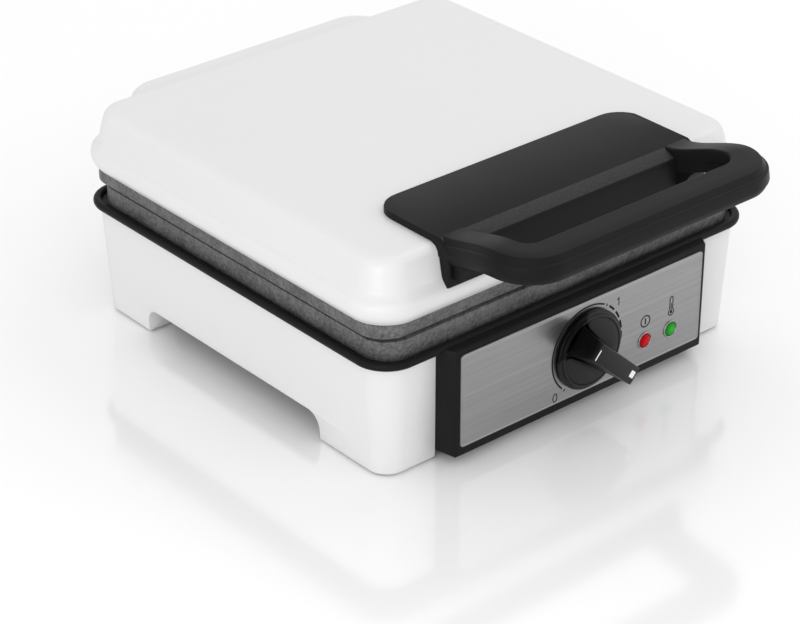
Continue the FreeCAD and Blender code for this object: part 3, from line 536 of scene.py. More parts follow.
def curve_through(points: Sequence[Pair], steps: int = 5) -> list[Pair]:
    """Smooth line through points.

    Args:
        points: places that the line passes.
        steps: new points on each span.

    Returns:
        The denser line.
    """
    line = []
    for index in range(len(points) - 1):
        p0 = points[max(index - 1, 0)]
        p1, p2 = points[index], points[index + 1]
        p3 = points[min(index + 2, len(points) - 1)]
        for step in range(steps):
            t = step / steps
            line.append(tuple(0.5 * (2 * b + (c - a) * t + (2 * a - 5 * b + 4 * c - d) * t * t
                                     + (3 * b - a - 3 * c + d) * t ** 3)
                              for a, b, c, d in zip(p0, p1, p2, p3)))
    line.append(points[-1])
    return line


def ease(value: float, start: float, end: float) -> float:
    """Smooth step from 0 at start to 1 at end.

    Args:
        value: where the step is read.
        start: where it leaves 0.
        end: where it reaches 1.

    Returns:
        The step's height.
    """
    t = min(1.0, max(0.0, (value - start) / (end - start)))
    return t * t * (3 - 2 * t)


class Seam(Enum):
    """How the two ends of a loft are finished."""

    CAPPED = "capped"
    JOINED = "joined"


class Act(Enum):
    """What a tool does to the solid that is kept."""

    CUT = "DIFFERENCE"
    ADD = "UNION"


def loft(name: str, loops: Sequence[Loop], seam: Seam = Seam.CAPPED) -> bpy.types.Object:
    """Skin of quads through loops of equal length.

    Args:
        name: the new object's name.
        loops: closed loops of points.
        seam: whether the ends get faces or meet each other.

    Returns:
        The closed mesh as an object.
    """
    shell = bmesh.new()
    rings = [[shell.verts.new(point) for point in loop] for loop in loops]
    spans = list(zip(rings, rings[1:]))
    if seam is Seam.JOINED:
        spans.append((rings[-1], rings[0]))
    for low, high in spans:
        for index, vertex in enumerate(low):
            following = (index + 1) % len(low)
            shell.faces.new((vertex, low[following], high[following], high[index]))
    if seam is Seam.CAPPED:
        shell.faces.new(list(reversed(rings[0])))
        shell.faces.new(rings[-1])
    return from_bmesh(name, shell)


def from_bmesh(name: str, shell: bmesh.types.BMesh) -> bpy.types.Object:
    """Turn a bmesh into an object with outward normals.

    Args:
        name: the new object's name.
        shell: the faces, which are freed.

    Returns:
        The object, linked to the scene.
    """
    bmesh.ops.recalc_face_normals(shell, faces=shell.faces)
    mesh = bpy.data.meshes.new(name)
    shell.to_mesh(mesh)
    shell.free()
    item = bpy.data.objects.new(name, mesh)
    bpy.context.scene.collection.objects.link(item)
    return item


def block(name: str, low: Sequence[float], high: Sequence[float]) -> bpy.types.Object:
    """Plain box.

    Args:
        name: the new object's name.
        low: its lowest corner.
        high: its highest corner.

    Returns:
        The box.
    """
    corners = [(low[0], low[1]), (high[0], low[1]), (high[0], high[1]), (low[0], high[1])]
    return loft(name, [[Vector((x, y, z)) for x, y in corners] for z in (low[2], high[2])])


def lathe(name: str, profile: Sequence[Pair], steps: int,
          seam: Seam = Seam.CAPPED) -> bpy.types.Object:
    """Round solid about the -Y direction.

    Args:
        name: the new object's name.
        profile: pairs of radius and distance out of the panel, from back to front.
        steps: sides of the round.
        seam: whether the ends get faces or meet each other, as on a ring.

    Returns:
        The solid, its axis on the origin.
    """
    turns = [2 * math.pi * k / steps for k in range(steps)]
    loops = [[Vector((radius * math.cos(t), -out, radius * math.sin(t))) for t in turns]
             for radius, out in profile]
    return loft(name, loops, seam)


def applied(item: bpy.types.Object) -> bpy.types.Object:
    """Apply an object's modifiers.

    Args:
        item: the object.

    Returns:
        The same object with their result as its mesh.
    """
    graph = bpy.context.evaluated_depsgraph_get()
    mesh = bpy.data.meshes.new_from_object(item.evaluated_get(graph))
    item.modifiers.clear()
    item.data = mesh
    return item


def carve(item: bpy.types.Object, tools: Sequence[bpy.types.Object],
          act: Act = Act.CUT) -> bpy.types.Object:
    """Combine solids with an exact boolean and drop the tools.

    Args:
        item: the solid that is kept.
        tools: the solids that act on it.
        act: whether they are cut away or added.

    Returns:
        The kept solid.
    """
    for tool in tools:
        step = item.modifiers.new("step", "BOOLEAN")
        step.operation = act.value
        step.solver = "EXACT"
        step.object = tool
    applied(item)
    for tool in tools:
        bpy.data.objects.remove(tool)
    return item


def soften(item: bpy.types.Object, width: float, segments: int = 2,
           angle: float = 35.0) -> bpy.types.Object:
    """Round an object's sharp edges by a bevel.

    Args:
        item: the object.
        width: the bevel's width.
        segments: faces across the bevel.
        angle: edges sharper than this many degrees are rounded.

    Returns:
        The same object.
    """
    bevel = item.modifiers.new("edge", "BEVEL")
    bevel.width = width
    bevel.segments = segments
    bevel.limit_method = "ANGLE"
    bevel.angle_limit = math.radians(angle)
    return applied(item)


def smooth(item: bpy.types.Object, angle: float = 32.0) -> bpy.types.Object:
    """Shade smooth, with edges sharper than an angle kept crisp.

    Args:
        item: the object.
        angle: the angle in degrees.

    Returns:
        The same object.
    """
    item.data.shade_smooth()
    item.data.set_sharp_from_angle(angle=math.radians(angle))
    return item


def moved(item: bpy.types.Object, matrix: Matrix) -> bpy.types.Object:
    """Move an object's mesh and leave its origin where it is."""
    item.data.transform(matrix)
    return item


def dress(item: bpy.types.Object, finish: Finish, body: str, slot: str,
          *nodes: str) -> bpy.types.Object:
    """Give a new piece its finish, its body and the nodes that it stands for.

    Args:
        item: the piece.
        finish: what its surface is.
        body: the body that it moves with.
        slot: its material slot; not used.
        nodes: the nodes that it replaces.

    Returns:
        The same piece.
    """
    item.data.materials.clear()
    item.data.materials.append(finish.material())
    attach(item, body)
    if nodes:
        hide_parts(*nodes)
    LOG.info("%s on %s", item.name, body)
    return item


def paint(finish: Finish, *nodes: str) -> None:
    """Give nodes that keep their own mesh their finish.

    Args:
        finish: what their surface is.
        nodes: their names.
    """
    for node in nodes:
        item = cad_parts[node]
        item.data.materials.clear()
        item.data.materials.append(finish.material())


def refine(node: str, finish: Finish, body: str, slot: str,
           edge: float) -> bpy.types.Object:
    """Replace a node by its own shape with its sharp edges rounded off.

    Args:
        node: the node's name.
        finish: what its surface is.
        body: the body that it moves with.
        slot: its material slot.
        edge: bevel width.

    Returns:
        The new piece.
    """
    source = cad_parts[node]
    shell = bmesh.new()
    shell.from_mesh(source.data)
    shell.transform(source.matrix_world)
    bmesh.ops.remove_doubles(shell, verts=shell.verts, dist=0.005 * MM)
    bmesh.ops.dissolve_limit(shell, angle_limit=math.radians(0.5), verts=shell.verts,
                             edges=shell.edges)
    item = soften(from_bmesh(f"{node}_cover", shell), edge, 2, 40)
    smooth(item, 35)
    return dress(item, finish, body, slot, node)


# ---- lid -------------------------------------------------------------------------------

@dataclass
class Lid:
    """White cover with a bulging lip and a hump over the hinge."""

    bulge: float = 3.5 * MM
    radius: float = 18.5 * MM
    wall: float = 2.5 * MM
    hump_half: float = 80 * MM
    hump_radius: float = 20 * MM
    hump_drop: float = 8 * MM
    crown: float = 0.25 * MM
    hump_edge: float = 8 * MM
    post_place: float = 60 * MM
    post_half: float = 5.5 * MM
    rear_gap: float = 0.6 * MM

    def __post_init__(self) -> None:
        """Take the lid's place and size from the frame."""
        self.low, self.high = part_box("lid_shell")
        half = self.high.x - self.bulge
        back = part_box("base_surround")[1].y - self.rear_gap
        self.plan = Plan(-half, half, self.low.y + self.bulge, back, self.radius, 18)

    def build(self) -> None:
        """Make the shell and dress what is inside it."""
        self.shell()
        refine("upper_waffle_plate", CAST, "lid", "coated_casting", 0.4 * MM)
        refine("upper_plate_pegs", CAST, "lid", "coated_casting", 0.7 * MM)
        paint(TUBE, "upper_heating_element")
        paint(TRAY, "upper_heat_shield")
        paint(ZINC, "lid_hinge_ears", "hinge_pins", "upper_standoffs", "upper_plate_screws",
              "thermal_fuse", "handle_plate_screws")

    def profile(self) -> list[Pair]:
        """Growth and height up the outside, from the lip's edge to the top's rim.

        Returns:
            Pairs of growth and height, drawn for a lid 30 mm tall and scaled to this one.
        """
        points = [(-0.9, 0.0), (-0.25, 0.12), (0.35, 0.8), (1.9, 2.6), (3.05, 4.9),
                  (3.5, 7.2), (3.3, 9.3), (2.3, 11.3), (0.9, 12.8), (0.0, 13.9),
                  (-0.75, 15.2), (-1.5, 18.2), (-2.7, 23.0), (-3.4, 25.4), (-4.3, 27.4),
                  (-5.9, 29.0), (-8.2, 29.8)]
        scale = (self.high.z - self.low.z) / (30 * MM)
        return [(growth * MM, rise * MM * scale) for growth, rise in curve_through(points)]

    def shell(self) -> None:
        """Outer skin, inner skin and hump joined in one closed solid."""
        outside = [self.plan.grown(g).loop(self.low.z + z) for g, z in self.profile()]
        for inset in (12, 18, 30, 48, 70, 92):
            level = self.high.z - self.crown * math.exp(-(inset - 9) / 14.0)
            outside.append(self.plan.grown(-inset * MM).loop(level))
        dome = loft("lid_cover", outside)
        inner = [(-self.wall, -1 * MM), (-self.wall, 8 * MM), (-4.5 * MM, 16 * MM),
                 (-7 * MM, 25.5 * MM), (-11 * MM, 27.5 * MM)]
        cavity = loft("cavity", [self.plan.grown(g).loop(self.low.z + z)
                                 for g, z in inner])
        carve(dome, [self.hump()], Act.ADD)
        carve(dome, [cavity, self.hump_room(), *self.slots()])
        smooth(dome, 28)
        dress(dome, WHITE, "lid", "white_plastic", "lid_shell")

    def hump(self) -> bpy.types.Object:
        """Rounded box behind the lid, its front end buried in the dome.

        Returns:
            The solid.
        """
        plan = Plan(-self.hump_half, self.hump_half, self.plan.back - 30 * MM, self.high.y,
                    self.hump_radius, 14)
        top, edge = self.high.z - self.hump_drop - self.low.z, self.hump_edge
        steps = [(-0.5 * MM, 0.0), (0.0, 0.5 * MM), (0.0, top - edge)]
        for turn in range(1, 9):
            angle = math.radians(90 * turn / 8)
            steps.append((edge * (math.cos(angle) - 1), top - edge * (1 - math.sin(angle))))
        return loft("hump", [plan.grown(g).loop(self.low.z + z) for g, z in steps])

    def hump_room(self) -> bpy.types.Object:
        """Hollow of the hump, open below.

        Returns:
            The cutting tool.
        """
        plan = Plan(self.wall - self.hump_half, self.hump_half - self.wall,
                    self.plan.back + 2.6 * MM, self.high.y - self.wall,
                    self.hump_radius / 3)
        top = self.high.z - self.hump_drop - self.wall
        levels = ((0.0, self.low.z - MM), (0.0, top - 5 * MM), (-2 * MM, top - 1.5 * MM),
                  (-6 * MM, top))
        return loft("hump_room", [plan.grown(g).loop(z) for g, z in levels])

    def slots(self) -> list[bpy.types.Object]:
        """Openings that the hinge posts stand in.

        Returns:
            One cutting tool for each post.
        """
        return [block(f"slot_{side}",
                      (side * self.post_place - self.post_half, self.plan.back + 1.6 * MM,
                       self.low.z - MM),
                      (side * self.post_place + self.post_half, self.high.y + MM,
                       self.low.z + 18 * MM))
                for side in (-1, 1)]


# ---- handle ----------------------------------------------------------------------------

@dataclass
class Handle:
    """Black plate on the lid and the loop grip that stands out of it."""

    arm: float = 16.5 * MM
    bar: float = 18 * MM
    corner: float = 23 * MM
    shoulder: float = 8 * MM
    thickness: float = 12.5 * MM
    back_radius: float = 14 * MM
    inner_radius: float = 8.5 * MM
    gusset_inset: float = 2.6 * MM
    screw_reach: float = 3.4 * MM

    def __post_init__(self) -> None:
        """Take the two pieces' places from the frame."""
        self.plate_low, self.plate_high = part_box("handle_plate")
        self.low, self.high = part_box("handle_grip")

    def build(self) -> None:
        """Make the plate, the grip and the screws between them."""
        self.plate()
        self.grip()
        screws = refine("grip_screws", ZINC, "lid", "zinc_steel", 0.2 * MM)
        for vertex in screws.data.vertices:
            vertex.co.y = max(vertex.co.y, self.plate_low.y - self.screw_reach)

    def plate(self) -> None:
        """Slab over the lid's front edge, with an apron down its face."""
        half, radius, edge, steps = self.plate_high.x, self.back_radius, 0.8 * MM, 40
        loops = []
        for step in range(steps + 1):
            x = half * math.sin(math.pi / 2 * (-1 + 2 * step / steps))
            over = max(0.0, abs(x) - (half - radius))
            back = self.plate_high.y - radius + math.sqrt(max(radius ** 2 - over ** 2, 0.0))
            fade = 0.7 * MM * max(0.0, (abs(x) - half + edge) / edge) ** 2
            loops.append([Vector((x, y, z)) for y, z in self.plate_profile(back, fade)])
        item = loft("handle_cover", loops)
        smooth(item, 24)
        # Painted highlight: a lighter speckled band across the sloping front face between
        # apron and shoulder, standing in for the light that face catches.
        finish = replace(BLACK, name="black_plastic_painted_sheen",
                         painted_sheen_band=(self.plate_low.y + 1.2 * MM,
                               self.plate_low.y + self.shoulder,
                               self.plate_high.x - 2 * MM, 0.038))
        dress(item, finish, "lid", "black_plastic", "handle_plate")

    def plate_profile(self, back: float, fade: float) -> list[Pair]:
        """Side outline of the plate.

        Args:
            back: where the plate ends behind.
            fade: how far the outside is drawn in, at the plate's side edges.

        Returns:
            Pairs of Y and Z round the outline.
        """
        low, high = self.plate_low, self.plate_high
        top, front = high.z - fade, low.y + fade
        under = high.z - 2.8 * MM
        shoulder = low.y + self.shoulder
        return [(back - fade, under), (back - fade, top - 0.9 * MM),
                (back - fade - 0.25 * MM, top - 0.25 * MM), (back - fade - MM, top),
                (shoulder + 20 * MM, top), (shoulder + 0.3 * MM, top),
                (shoulder - 0.1 * MM, top - 0.15 * MM),
                (front + 1.6 * MM, high.z - 3.3 * MM), (front + 0.5 * MM, high.z - 4.3 * MM),
                (front + 0.1 * MM, high.z - 5.6 * MM), (front, low.z + 0.6 * MM),
                (front + 0.5 * MM, low.z), (low.y + 3.9 * MM, low.z),
                (low.y + 6.6 * MM, low.z + 14.6 * MM), (low.y + 9 * MM, under - 1.2 * MM),
                (low.y + 12 * MM, under), (shoulder + 20 * MM, under)]

    def grip(self) -> None:
        """Arms and bar in one sweep, with a gusset under each arm."""
        outer, inner = self.contours()
        item = loft("handle_loop", [self.section(Vector((*out, 0)), Vector((*inn, 0)))
                                    for out, inn in zip(outer, inner)])
        carve(item, [self.gusset(side) for side in (-1, 1)], Act.ADD)
        smooth(item, 26)
        dress(item, BLACK, "lid", "black_plastic", "handle_grip")

    def contours(self) -> tuple[list[Pair], list[Pair]]:
        """Lines of the loop seen from above, from the left root round to the right one.

        Returns:
            The outer and the inner line, with matching points.
        """
        half, front = self.high.x, self.low.y
        root = self.plate_low.y + self.shoulder
        root_half = self.plate_high.x + 0.15 * MM
        outer_r, inner_r = self.corner, self.inner_radius
        start, inner_start = front + outer_r, front + self.bar + inner_r
        inner_x = half - self.arm
        outer, inner = [], []
        for step in range(19):
            share = step / 19
            x_out = root_half + (half - root_half) * ease(share, 0.25, 1.0)
            x_in = root_half - self.arm + (half - root_half) * ease(share, 0.0, 1.0)
            outer.append((-x_out, root + share * (start - root)))
            inner.append((-x_in, root + share * (inner_start - root)))
        for step in range(21):
            turn = math.radians(180 + 90 * step / 20)
            outer.append((-half + outer_r + outer_r * math.cos(turn),
                          start + outer_r * math.sin(turn)))
            inner.append((-inner_x + inner_r + inner_r * math.cos(turn),
                          inner_start + inner_r * math.sin(turn)))
        for share in (0.66, 0.33, 0.0):
            outer.append((-(half - outer_r) * share, front))
            inner.append((-(inner_x - inner_r) * share, front + self.bar))
        mirrored = [(-x, y) for x, y in reversed(outer[:-1])]
        mirrored_inner = [(-x, y) for x, y in reversed(inner[:-1])]
        return outer + mirrored, inner + mirrored_inner

    def top(self, depth: float) -> float:
        """Height of the grip's top at a distance in front of the plate's shoulder."""
        low = self.plate_high.z + 0.05 * MM
        return low + (self.high.z - low) * ease(depth, -2 * MM, 38 * MM)

    def section(self, out: Vector, inn: Vector) -> Loop:
        """Closed section of the grip between its outer and inner lines.

        Args:
            out: point on the outer line.
            inn: point on the inner line.

        Returns:
            The section's points.
        """
        shoulder = self.plate_low.y + self.shoulder
        top = self.top(shoulder - (out.y + inn.y) / 2)
        shape = [(0.10, 0.0), (0.03, 0.04), (0.0, 0.14), (0.0, 0.90), (0.015, 0.965),
                 (0.06, 1.0), (0.40, 1.0), (0.755, 1.0), (0.79, 0.985), (0.885, 0.80),
                 (0.895, 0.775), (0.945, 0.755), (0.962, 0.72), (1.0, 0.34),
                 (0.99, 0.29), (0.955, 0.265), (0.935, 0.12), (0.90, 0.04), (0.83, 0.0),
                 (0.45, 0.0)]
        return [Vector((*inn.lerp(out, share).xy, top - self.thickness * (1 - level)))
                for share, level in shape]

    def gusset(self, side: int) -> bpy.types.Object:
        """Web under one arm whose underside arches from the apron to the bar.

        Args:
            side: -1 for the left arm, 1 for the right one.

        Returns:
            The web, reaching into the arm above it.
        """
        apron = self.plate_low.y
        foot = self.low.z + 4 * MM
        reach = 22 * MM
        shoulder = apron + self.shoulder
        rise = self.high.z - self.thickness + 1.5 * MM - foot
        front = apron - 4.4 * MM
        turns = [math.radians(90 * step / 12) for step in range(13)]
        curve = [(front - reach * (1 - math.cos(t)), foot + rise * math.sin(t))
                 for t in turns]
        ceiling = [(y, self.top(shoulder - y) - self.thickness / 2)
                   for y in (front - reach, front - reach / 2, apron)]
        buried = apron + 0.9 * MM
        outline = [(buried, foot), *curve, *ceiling, (buried, ceiling[-1][1])]
        outer = self.plate_high.x - self.gusset_inset
        inner = self.plate_high.x - self.arm + self.gusset_inset
        return loft("gusset", [[Vector((side * x, y, z)) for y, z in outline]
                               for x in (inner, outer)])


# ---- base ------------------------------------------------------------------------------

@dataclass
class Base:
    """White housing, black rim with its bezel, and what stands under and behind them."""

    rim_radius: float = 17.5 * MM
    overhang: float = 3.5 * MM
    plate_inset: float = 5.4 * MM
    bezel_half: float = 78.75 * MM
    bezel_flare: tuple[float, float] = (2.4 * MM, 5.2 * MM)
    draft: float = 3.4 * MM
    wall: float = 2.5 * MM
    arch_front: float = 52 * MM
    arch_back: float = 44.5 * MM
    arch_height: float = 13.6 * MM
    arch_radius: float = 8 * MM
    web: float = 14 * MM

    def __post_init__(self) -> None:
        """Take the housing's and the rim's places from the frame."""
        self.low, self.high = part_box("base_surround")
        self.house_low, self.house_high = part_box("base_housing")
        self.rim_front = self.house_low.y - self.overhang
        self.rim = Plan(-self.high.x, self.high.x, self.rim_front, self.high.y,
                        self.rim_radius, 18)

    def build(self) -> None:
        """Make the housing and the surround and dress the nodes that stay."""
        self.housing()
        self.surround()
        refine("lower_waffle_plate", CAST, "base", "coated_casting", 0.4 * MM)
        refine("lower_plate_pegs", CAST, "base", "coated_casting", 0.7 * MM)
        refine("rubber_feet", RUBBER, "base", "rubber", 0.8 * MM)
        refine("hinge_brackets", BLACK, "base", "black_plastic", 0.6 * MM)
        refine("cord_gland", RUBBER, "base", "rubber", 0.5 * MM)
        paint(BLACK, "bottom_cover", "lamp_holders")
        paint(CERAMIC, "terminal_block", "thermostat_body")
        paint(TUBE, "lower_heating_element")
        paint(TRAY, "lower_heat_shield")
        paint(ZINC, "lower_standoffs", "lower_plate_screws", "bottom_cover_screws")

    def housing(self) -> None:
        """Drafted wall with a rounded lower edge, arched along both sides."""
        foot, top = self.house_low.z, self.house_high.z
        plan = self.rim.grown(-self.overhang)

        def draft(level: float) -> float:
            """Inward lean at a height."""
            return -self.draft * (top - level) / (top - foot)

        start = foot + 1.2 * MM
        levels = [start + (top - start) * k / 10 for k in range(11)]
        outside = [plan.grown(draft(foot) - 0.9 * MM).loop(foot),
                   plan.grown(draft(foot) - 0.3 * MM).loop(foot + 0.3 * MM)]
        outside += [plan.grown(draft(z)).loop(z) for z in levels]
        shell = loft("housing_cover", outside)
        hollow = loft("hollow", [plan.grown(draft(z) - self.wall).loop(z)
                                 for z in (foot - MM, top + MM)])
        window = block("window", (-self.bezel_half - 2 * MM, self.rim_front - MM, 0),
                       (self.bezel_half + 2 * MM, self.rim_front + 14 * MM, top + MM))
        carve(shell, [hollow, window])
        carve(shell, self.webs(), Act.ADD)
        carve(shell, [self.arch()])
        soften(shell, 0.45 * MM, 2, 40)
        smooth(shell, 30)
        dress(shell, WHITE, "base", "white_plastic", "base_housing")

    def webs(self) -> list[bpy.types.Object]:
        """Returns that run inwards from the ends of both side arches.

        Returns:
            Four blocks that reach into the wall.
        """
        made = []
        ends = ((self.rim_front + self.arch_front, 1), (self.high.y - self.arch_back, -1))
        outer = self.house_high.x - self.draft - 0.6 * MM
        for side in (-1, 1):
            for place, way in ends:
                across = sorted((side * outer, side * (outer - self.web)))
                along = sorted((place - way * self.wall, place + way * self.arch_radius))
                made.append(block("web", (across[0], along[0], self.house_low.z + 0.3 * MM),
                                  (across[1], along[1],
                                   self.house_low.z + self.arch_height - 0.1 * MM)))
        return made

    def arch(self) -> bpy.types.Object:
        """Cutting tool for both side arches, with rounded upper corners.

        Returns:
            One bar that passes through both sides.
        """
        plan = Plan(self.rim_front + self.arch_front, self.high.y - self.arch_back,
                    -self.arch_height, self.house_low.z + self.arch_height,
                    self.arch_radius, 10)
        sides = [[Vector((x, p.x, p.y)) for p in plan.loop(0)]
                 for x in (-self.high.x - MM, self.high.x + MM)]
        return loft("arch", sides)

    def surround(self) -> None:
        """Rolled rim with a deep groove, in one moulding with the bezel."""
        bottom, top = self.house_high.z, self.high.z
        rise = top - bottom
        roll = curve_through([(-3.0, 0.0), (-1.6, 0.0), (-0.6, 0.09), (-0.12, 0.3),
                              (0.0, 0.52), (-0.15, 0.76), (-0.75, 0.93), (-1.6, 1.0),
                              (-2.6, 0.99), (-3.5, 0.9), (-4.0, 0.72)], 3)
        section = [(g * MM, bottom + share * rise) for g, share in roll]
        ledge = -self.plate_inset - 6 * MM
        section += [(-4.3 * MM, bottom + 1.7 * MM), (ledge, bottom + 1.4 * MM),
                    (ledge, bottom)]
        rim = loft("rim", [self.rim.grown(g).loop(z) for g, z in section], Seam.JOINED)
        carve(rim, [self.bezel()], Act.ADD)
        smooth(rim, 32)
        rim.name = "surround_moulding"
        dress(rim, BLACK, "base", "black_plastic", "base_surround")

    def bezel(self) -> bpy.types.Object:
        """Block that carries the control panel, its back on the housing's front.

        Returns:
            The block with its edges rounded.
        """
        face, half = self.low.y, self.bezel_half
        low_half, top_half = (half + flare for flare in self.bezel_flare)
        shelf = self.house_high.z + 2.4 * MM
        foot = self.low.z
        back_top = self.rim_front + 3.7 * MM
        back_low = back_top + self.draft - 0.2 * MM
        ends = (((half, face), (half, face)), ((low_half, back_low), (top_half, back_top)))
        loops = [[Vector((-low_x, low_y, foot)), Vector((low_x, low_y, foot)),
                  Vector((top_x, top_y, shelf)), Vector((-top_x, top_y, shelf))]
                 for (low_x, low_y), (top_x, top_y) in ends]
        return soften(loft("bezel", loops), 1.1 * MM, 3, 30)


# ---- control panel ---------------------------------------------------------------------

@dataclass
class Panel:
    """Brushed sheet with its dial, printed marks and two lamps."""

    dial_radius: float = 22 * MM
    line: float = 0.85 * MM
    thin: float = 0.5 * MM
    ink: float = 0.05 * MM
    dash: float = 11.5
    gap: float = 5.0

    def __post_init__(self) -> None:
        """Take the panel's, the dial's and the lamps' places from the frame."""
        self.low, self.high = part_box("control_plate")
        knob_low, knob_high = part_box("thermostat_shaft")
        self.centre = ((knob_low.x + knob_high.x) / 2, (knob_low.z + knob_high.z) / 2)
        self.face = self.low.y

    def build(self) -> None:
        """Make the sheet, the print and the lamps."""
        self.sheet()
        self.dial()
        self.symbols()
        self.lamp("power_lamp_lens", "red_lens", (0.26, 0.0, 0.004), (0.52, 0.001, 0.004))
        self.lamp("ready_lamp_lens", "green_lens", (0.006, 0.14, 0.008), (0.024, 0.36, 0.026))

    def sheet(self) -> None:
        """Thin sheet with rounded corners and a turned edge."""
        plan = Plan(self.low.x, self.high.x, self.low.z, self.high.z, 2 * MM, 8)
        steps = ((0.0, self.high.y), (0.0, self.low.y + 0.35 * MM),
                 (-0.12 * MM, self.low.y + 0.08 * MM), (-0.35 * MM, self.low.y),
                 (-0.8 * MM, self.low.y), (-1.0 * MM, self.low.y + 0.12 * MM),
                 (-1.15 * MM, self.low.y + 0.12 * MM), (-1.35 * MM, self.low.y))
        item = loft("panel_sheet", [upright(plan, growth, y) for growth, y in steps])
        smooth(item, 24)
        dress(item, STEEL, "base", "brushed_steel", "control_plate")

    def stroke(self, shell: bmesh.types.BMesh, points: Sequence[Pair], width: float,
               closed: bool = False) -> None:
        """Add a printed line through points on the panel, as thin closed relief.

        Args:
            shell: the print that the line is added to.
            points: pairs of X and Z.
            width: the line's width.
            closed: whether the line meets its start.
        """
        count = len(points)
        rings = []
        for index, (x, z) in enumerate(points):
            before = points[index - 1] if index or closed else points[0]
            after = points[(index + 1) % count] if index < count - 1 or closed else (x, z)
            along = Vector((after[0] - before[0], after[1] - before[1])).normalized()
            side = Vector((-along.y, along.x)) * width / 2
            corners = [(side, 0.0), (side, self.ink), (-side, self.ink), (-side, 0.0)]
            rings.append([shell.verts.new((x + s.x, self.face - out, z + s.y))
                          for s, out in corners])
        spans = list(zip(rings, rings[1:])) + ([(rings[-1], rings[0])] if closed else [])
        for first, second in spans:
            for k in range(4):
                shell.faces.new((first[k], first[(k + 1) % 4], second[(k + 1) % 4],
                                 second[k]))
        if not closed:
            shell.faces.new(rings[0])
            shell.faces.new(list(reversed(rings[-1])))

    def printed(self, name: str, strokes: Iterable[tuple]) -> None:
        """Make one printed piece.

        Args:
            name: the piece's name.
            strokes: for each line its points, its width and, if it is closed, True.
        """
        shell = bmesh.new()
        for stroke in strokes:
            self.stroke(shell, *stroke)
        dress(from_bmesh(name, shell), PRINT, "base", "black_plastic")

    def arc(self, centre: Pair, radius: float, start: float, end: float,
            stretch: float = 1.0) -> list[Pair]:
        """Points along an arc.

        Args:
            centre: the arc's middle.
            radius: its radius.
            start: where it starts, in degrees.
            end: where it ends, in degrees.
            stretch: height over width.

        Returns:
            The points.
        """
        count = max(6, int(abs(end - start) / 4))
        turns = [math.radians(start + (end - start) * k / count) for k in range(count + 1)]
        return [(centre[0] + radius * math.cos(t), centre[1] + radius * stretch * math.sin(t))
                for t in turns]

    def dial(self) -> None:
        """Solid arc from off to the first setting, then dashes to the highest."""
        c, r = self.centre, self.dial_radius
        strokes = [(self.arc(c, r, 226, 62), self.line)]
        angle = 52.0
        while angle > -42:
            strokes.append((self.arc(c, r, angle, angle - self.dash), self.line * 1.3))
            angle -= self.dash + self.gap
        strokes += [(self.arc(c, r, turn + 1, turn - 1), self.line * 1.6)
                    for turn in (231, 57)]
        off = (c[0] - 19.6 * MM, c[1] - 19.2 * MM)
        strokes.append((self.arc(off, 1.25 * MM, 0, 352, 1.7), self.thin, True))
        x, z = c[0] + 19.7 * MM, c[1] + 17.5 * MM
        strokes.append(([(x - 1.1 * MM, z + 1.0 * MM), (x, z + 2.1 * MM)], self.thin))
        strokes.append(([(x, z + 2.3 * MM), (x, z - 2 * MM)], self.thin))
        self.printed("dial_print", strokes)

    def symbols(self) -> None:
        """A ring with a bar over the first lamp, a thermometer over the second."""
        red, green = self.lamp_place("power_lamp_lens"), self.lamp_place("ready_lamp_lens")
        ring = (red[0], red[1] + 10.3 * MM)
        x, z = green[0], green[1] + 9.2 * MM
        tube = self.arc((x, z), 1.75 * MM, 125, 415)
        tube += self.arc((x, z + 7.2 * MM), 0.95 * MM, 0, 180)
        self.printed("symbol_print", [
            (self.arc(ring, 2.9 * MM, 0, 356), 0.65 * MM, True),
            ([(ring[0], ring[1] - 1.5 * MM), (ring[0], ring[1] + 1.5 * MM)], 0.8 * MM),
            (tube, 0.55 * MM, True),
            (self.arc((x, z), 0.45 * MM, 0, 340), 0.75 * MM, True),
            ([(x, z), (x, z + 4.6 * MM)], self.thin)])

    @staticmethod
    def lamp_place(node: str) -> Pair:
        """Middle of a lamp on the panel."""
        low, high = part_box(node)
        return ((low.x + high.x) / 2, (low.z + high.z) / 2)

    def lamp(self, node: str, slot: str, colour: tuple[float, float, float],
             core: tuple[float, float, float]) -> None:
        """Domed lens in a bright rolled ring.

        Args:
            node: the lens's node.
            slot: the lens's material slot.
            colour: colour at the lens's edge.
            core: colour at its middle.
        """
        low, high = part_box(node)
        x, z = self.lamp_place(node)
        radius = (high.x - low.x) / 2
        lens_radius, depth, rise = radius * 0.97, high.y - self.face, self.face - low.y
        turns = [math.radians(10 * step) for step in range(1, 9)]
        profile = [(lens_radius, 0.0), (lens_radius, depth)]
        profile += [(lens_radius * math.cos(t), depth + rise * 0.8 * math.sin(t))
                    for t in turns]
        lens = moved(lathe(f"{slot}_dome", profile, 40),
                     Matrix.Translation((x, high.y, z)))
        smooth(lens, 50)
        finish = Lens(f"{slot}_material", colour, core, 0.12, (x, z), radius)
        dress(lens, finish, "base", slot, node)
        roll = [(radius * 1.22, -0.1 * MM), (radius * 1.22, 0.2 * MM),
                (radius * 1.2, 0.42 * MM), (radius * 1.14, 0.55 * MM),
                (radius * 1.06, 0.55 * MM), (radius * 1.01, 0.4 * MM),
                (radius * 0.98, 0.1 * MM), (radius * 0.98, -0.1 * MM)]
        ring = moved(lathe(f"{slot}_ring", roll, 48, Seam.JOINED),
                     Matrix.Translation((x, self.face, z)))
        smooth(ring, 50)
        nodes = ("lamp_rings",) if slot == "red_lens" else ()
        dress(ring, CHROME, "base", "ring_chrome", *nodes)


# ---- knob ------------------------------------------------------------------------------

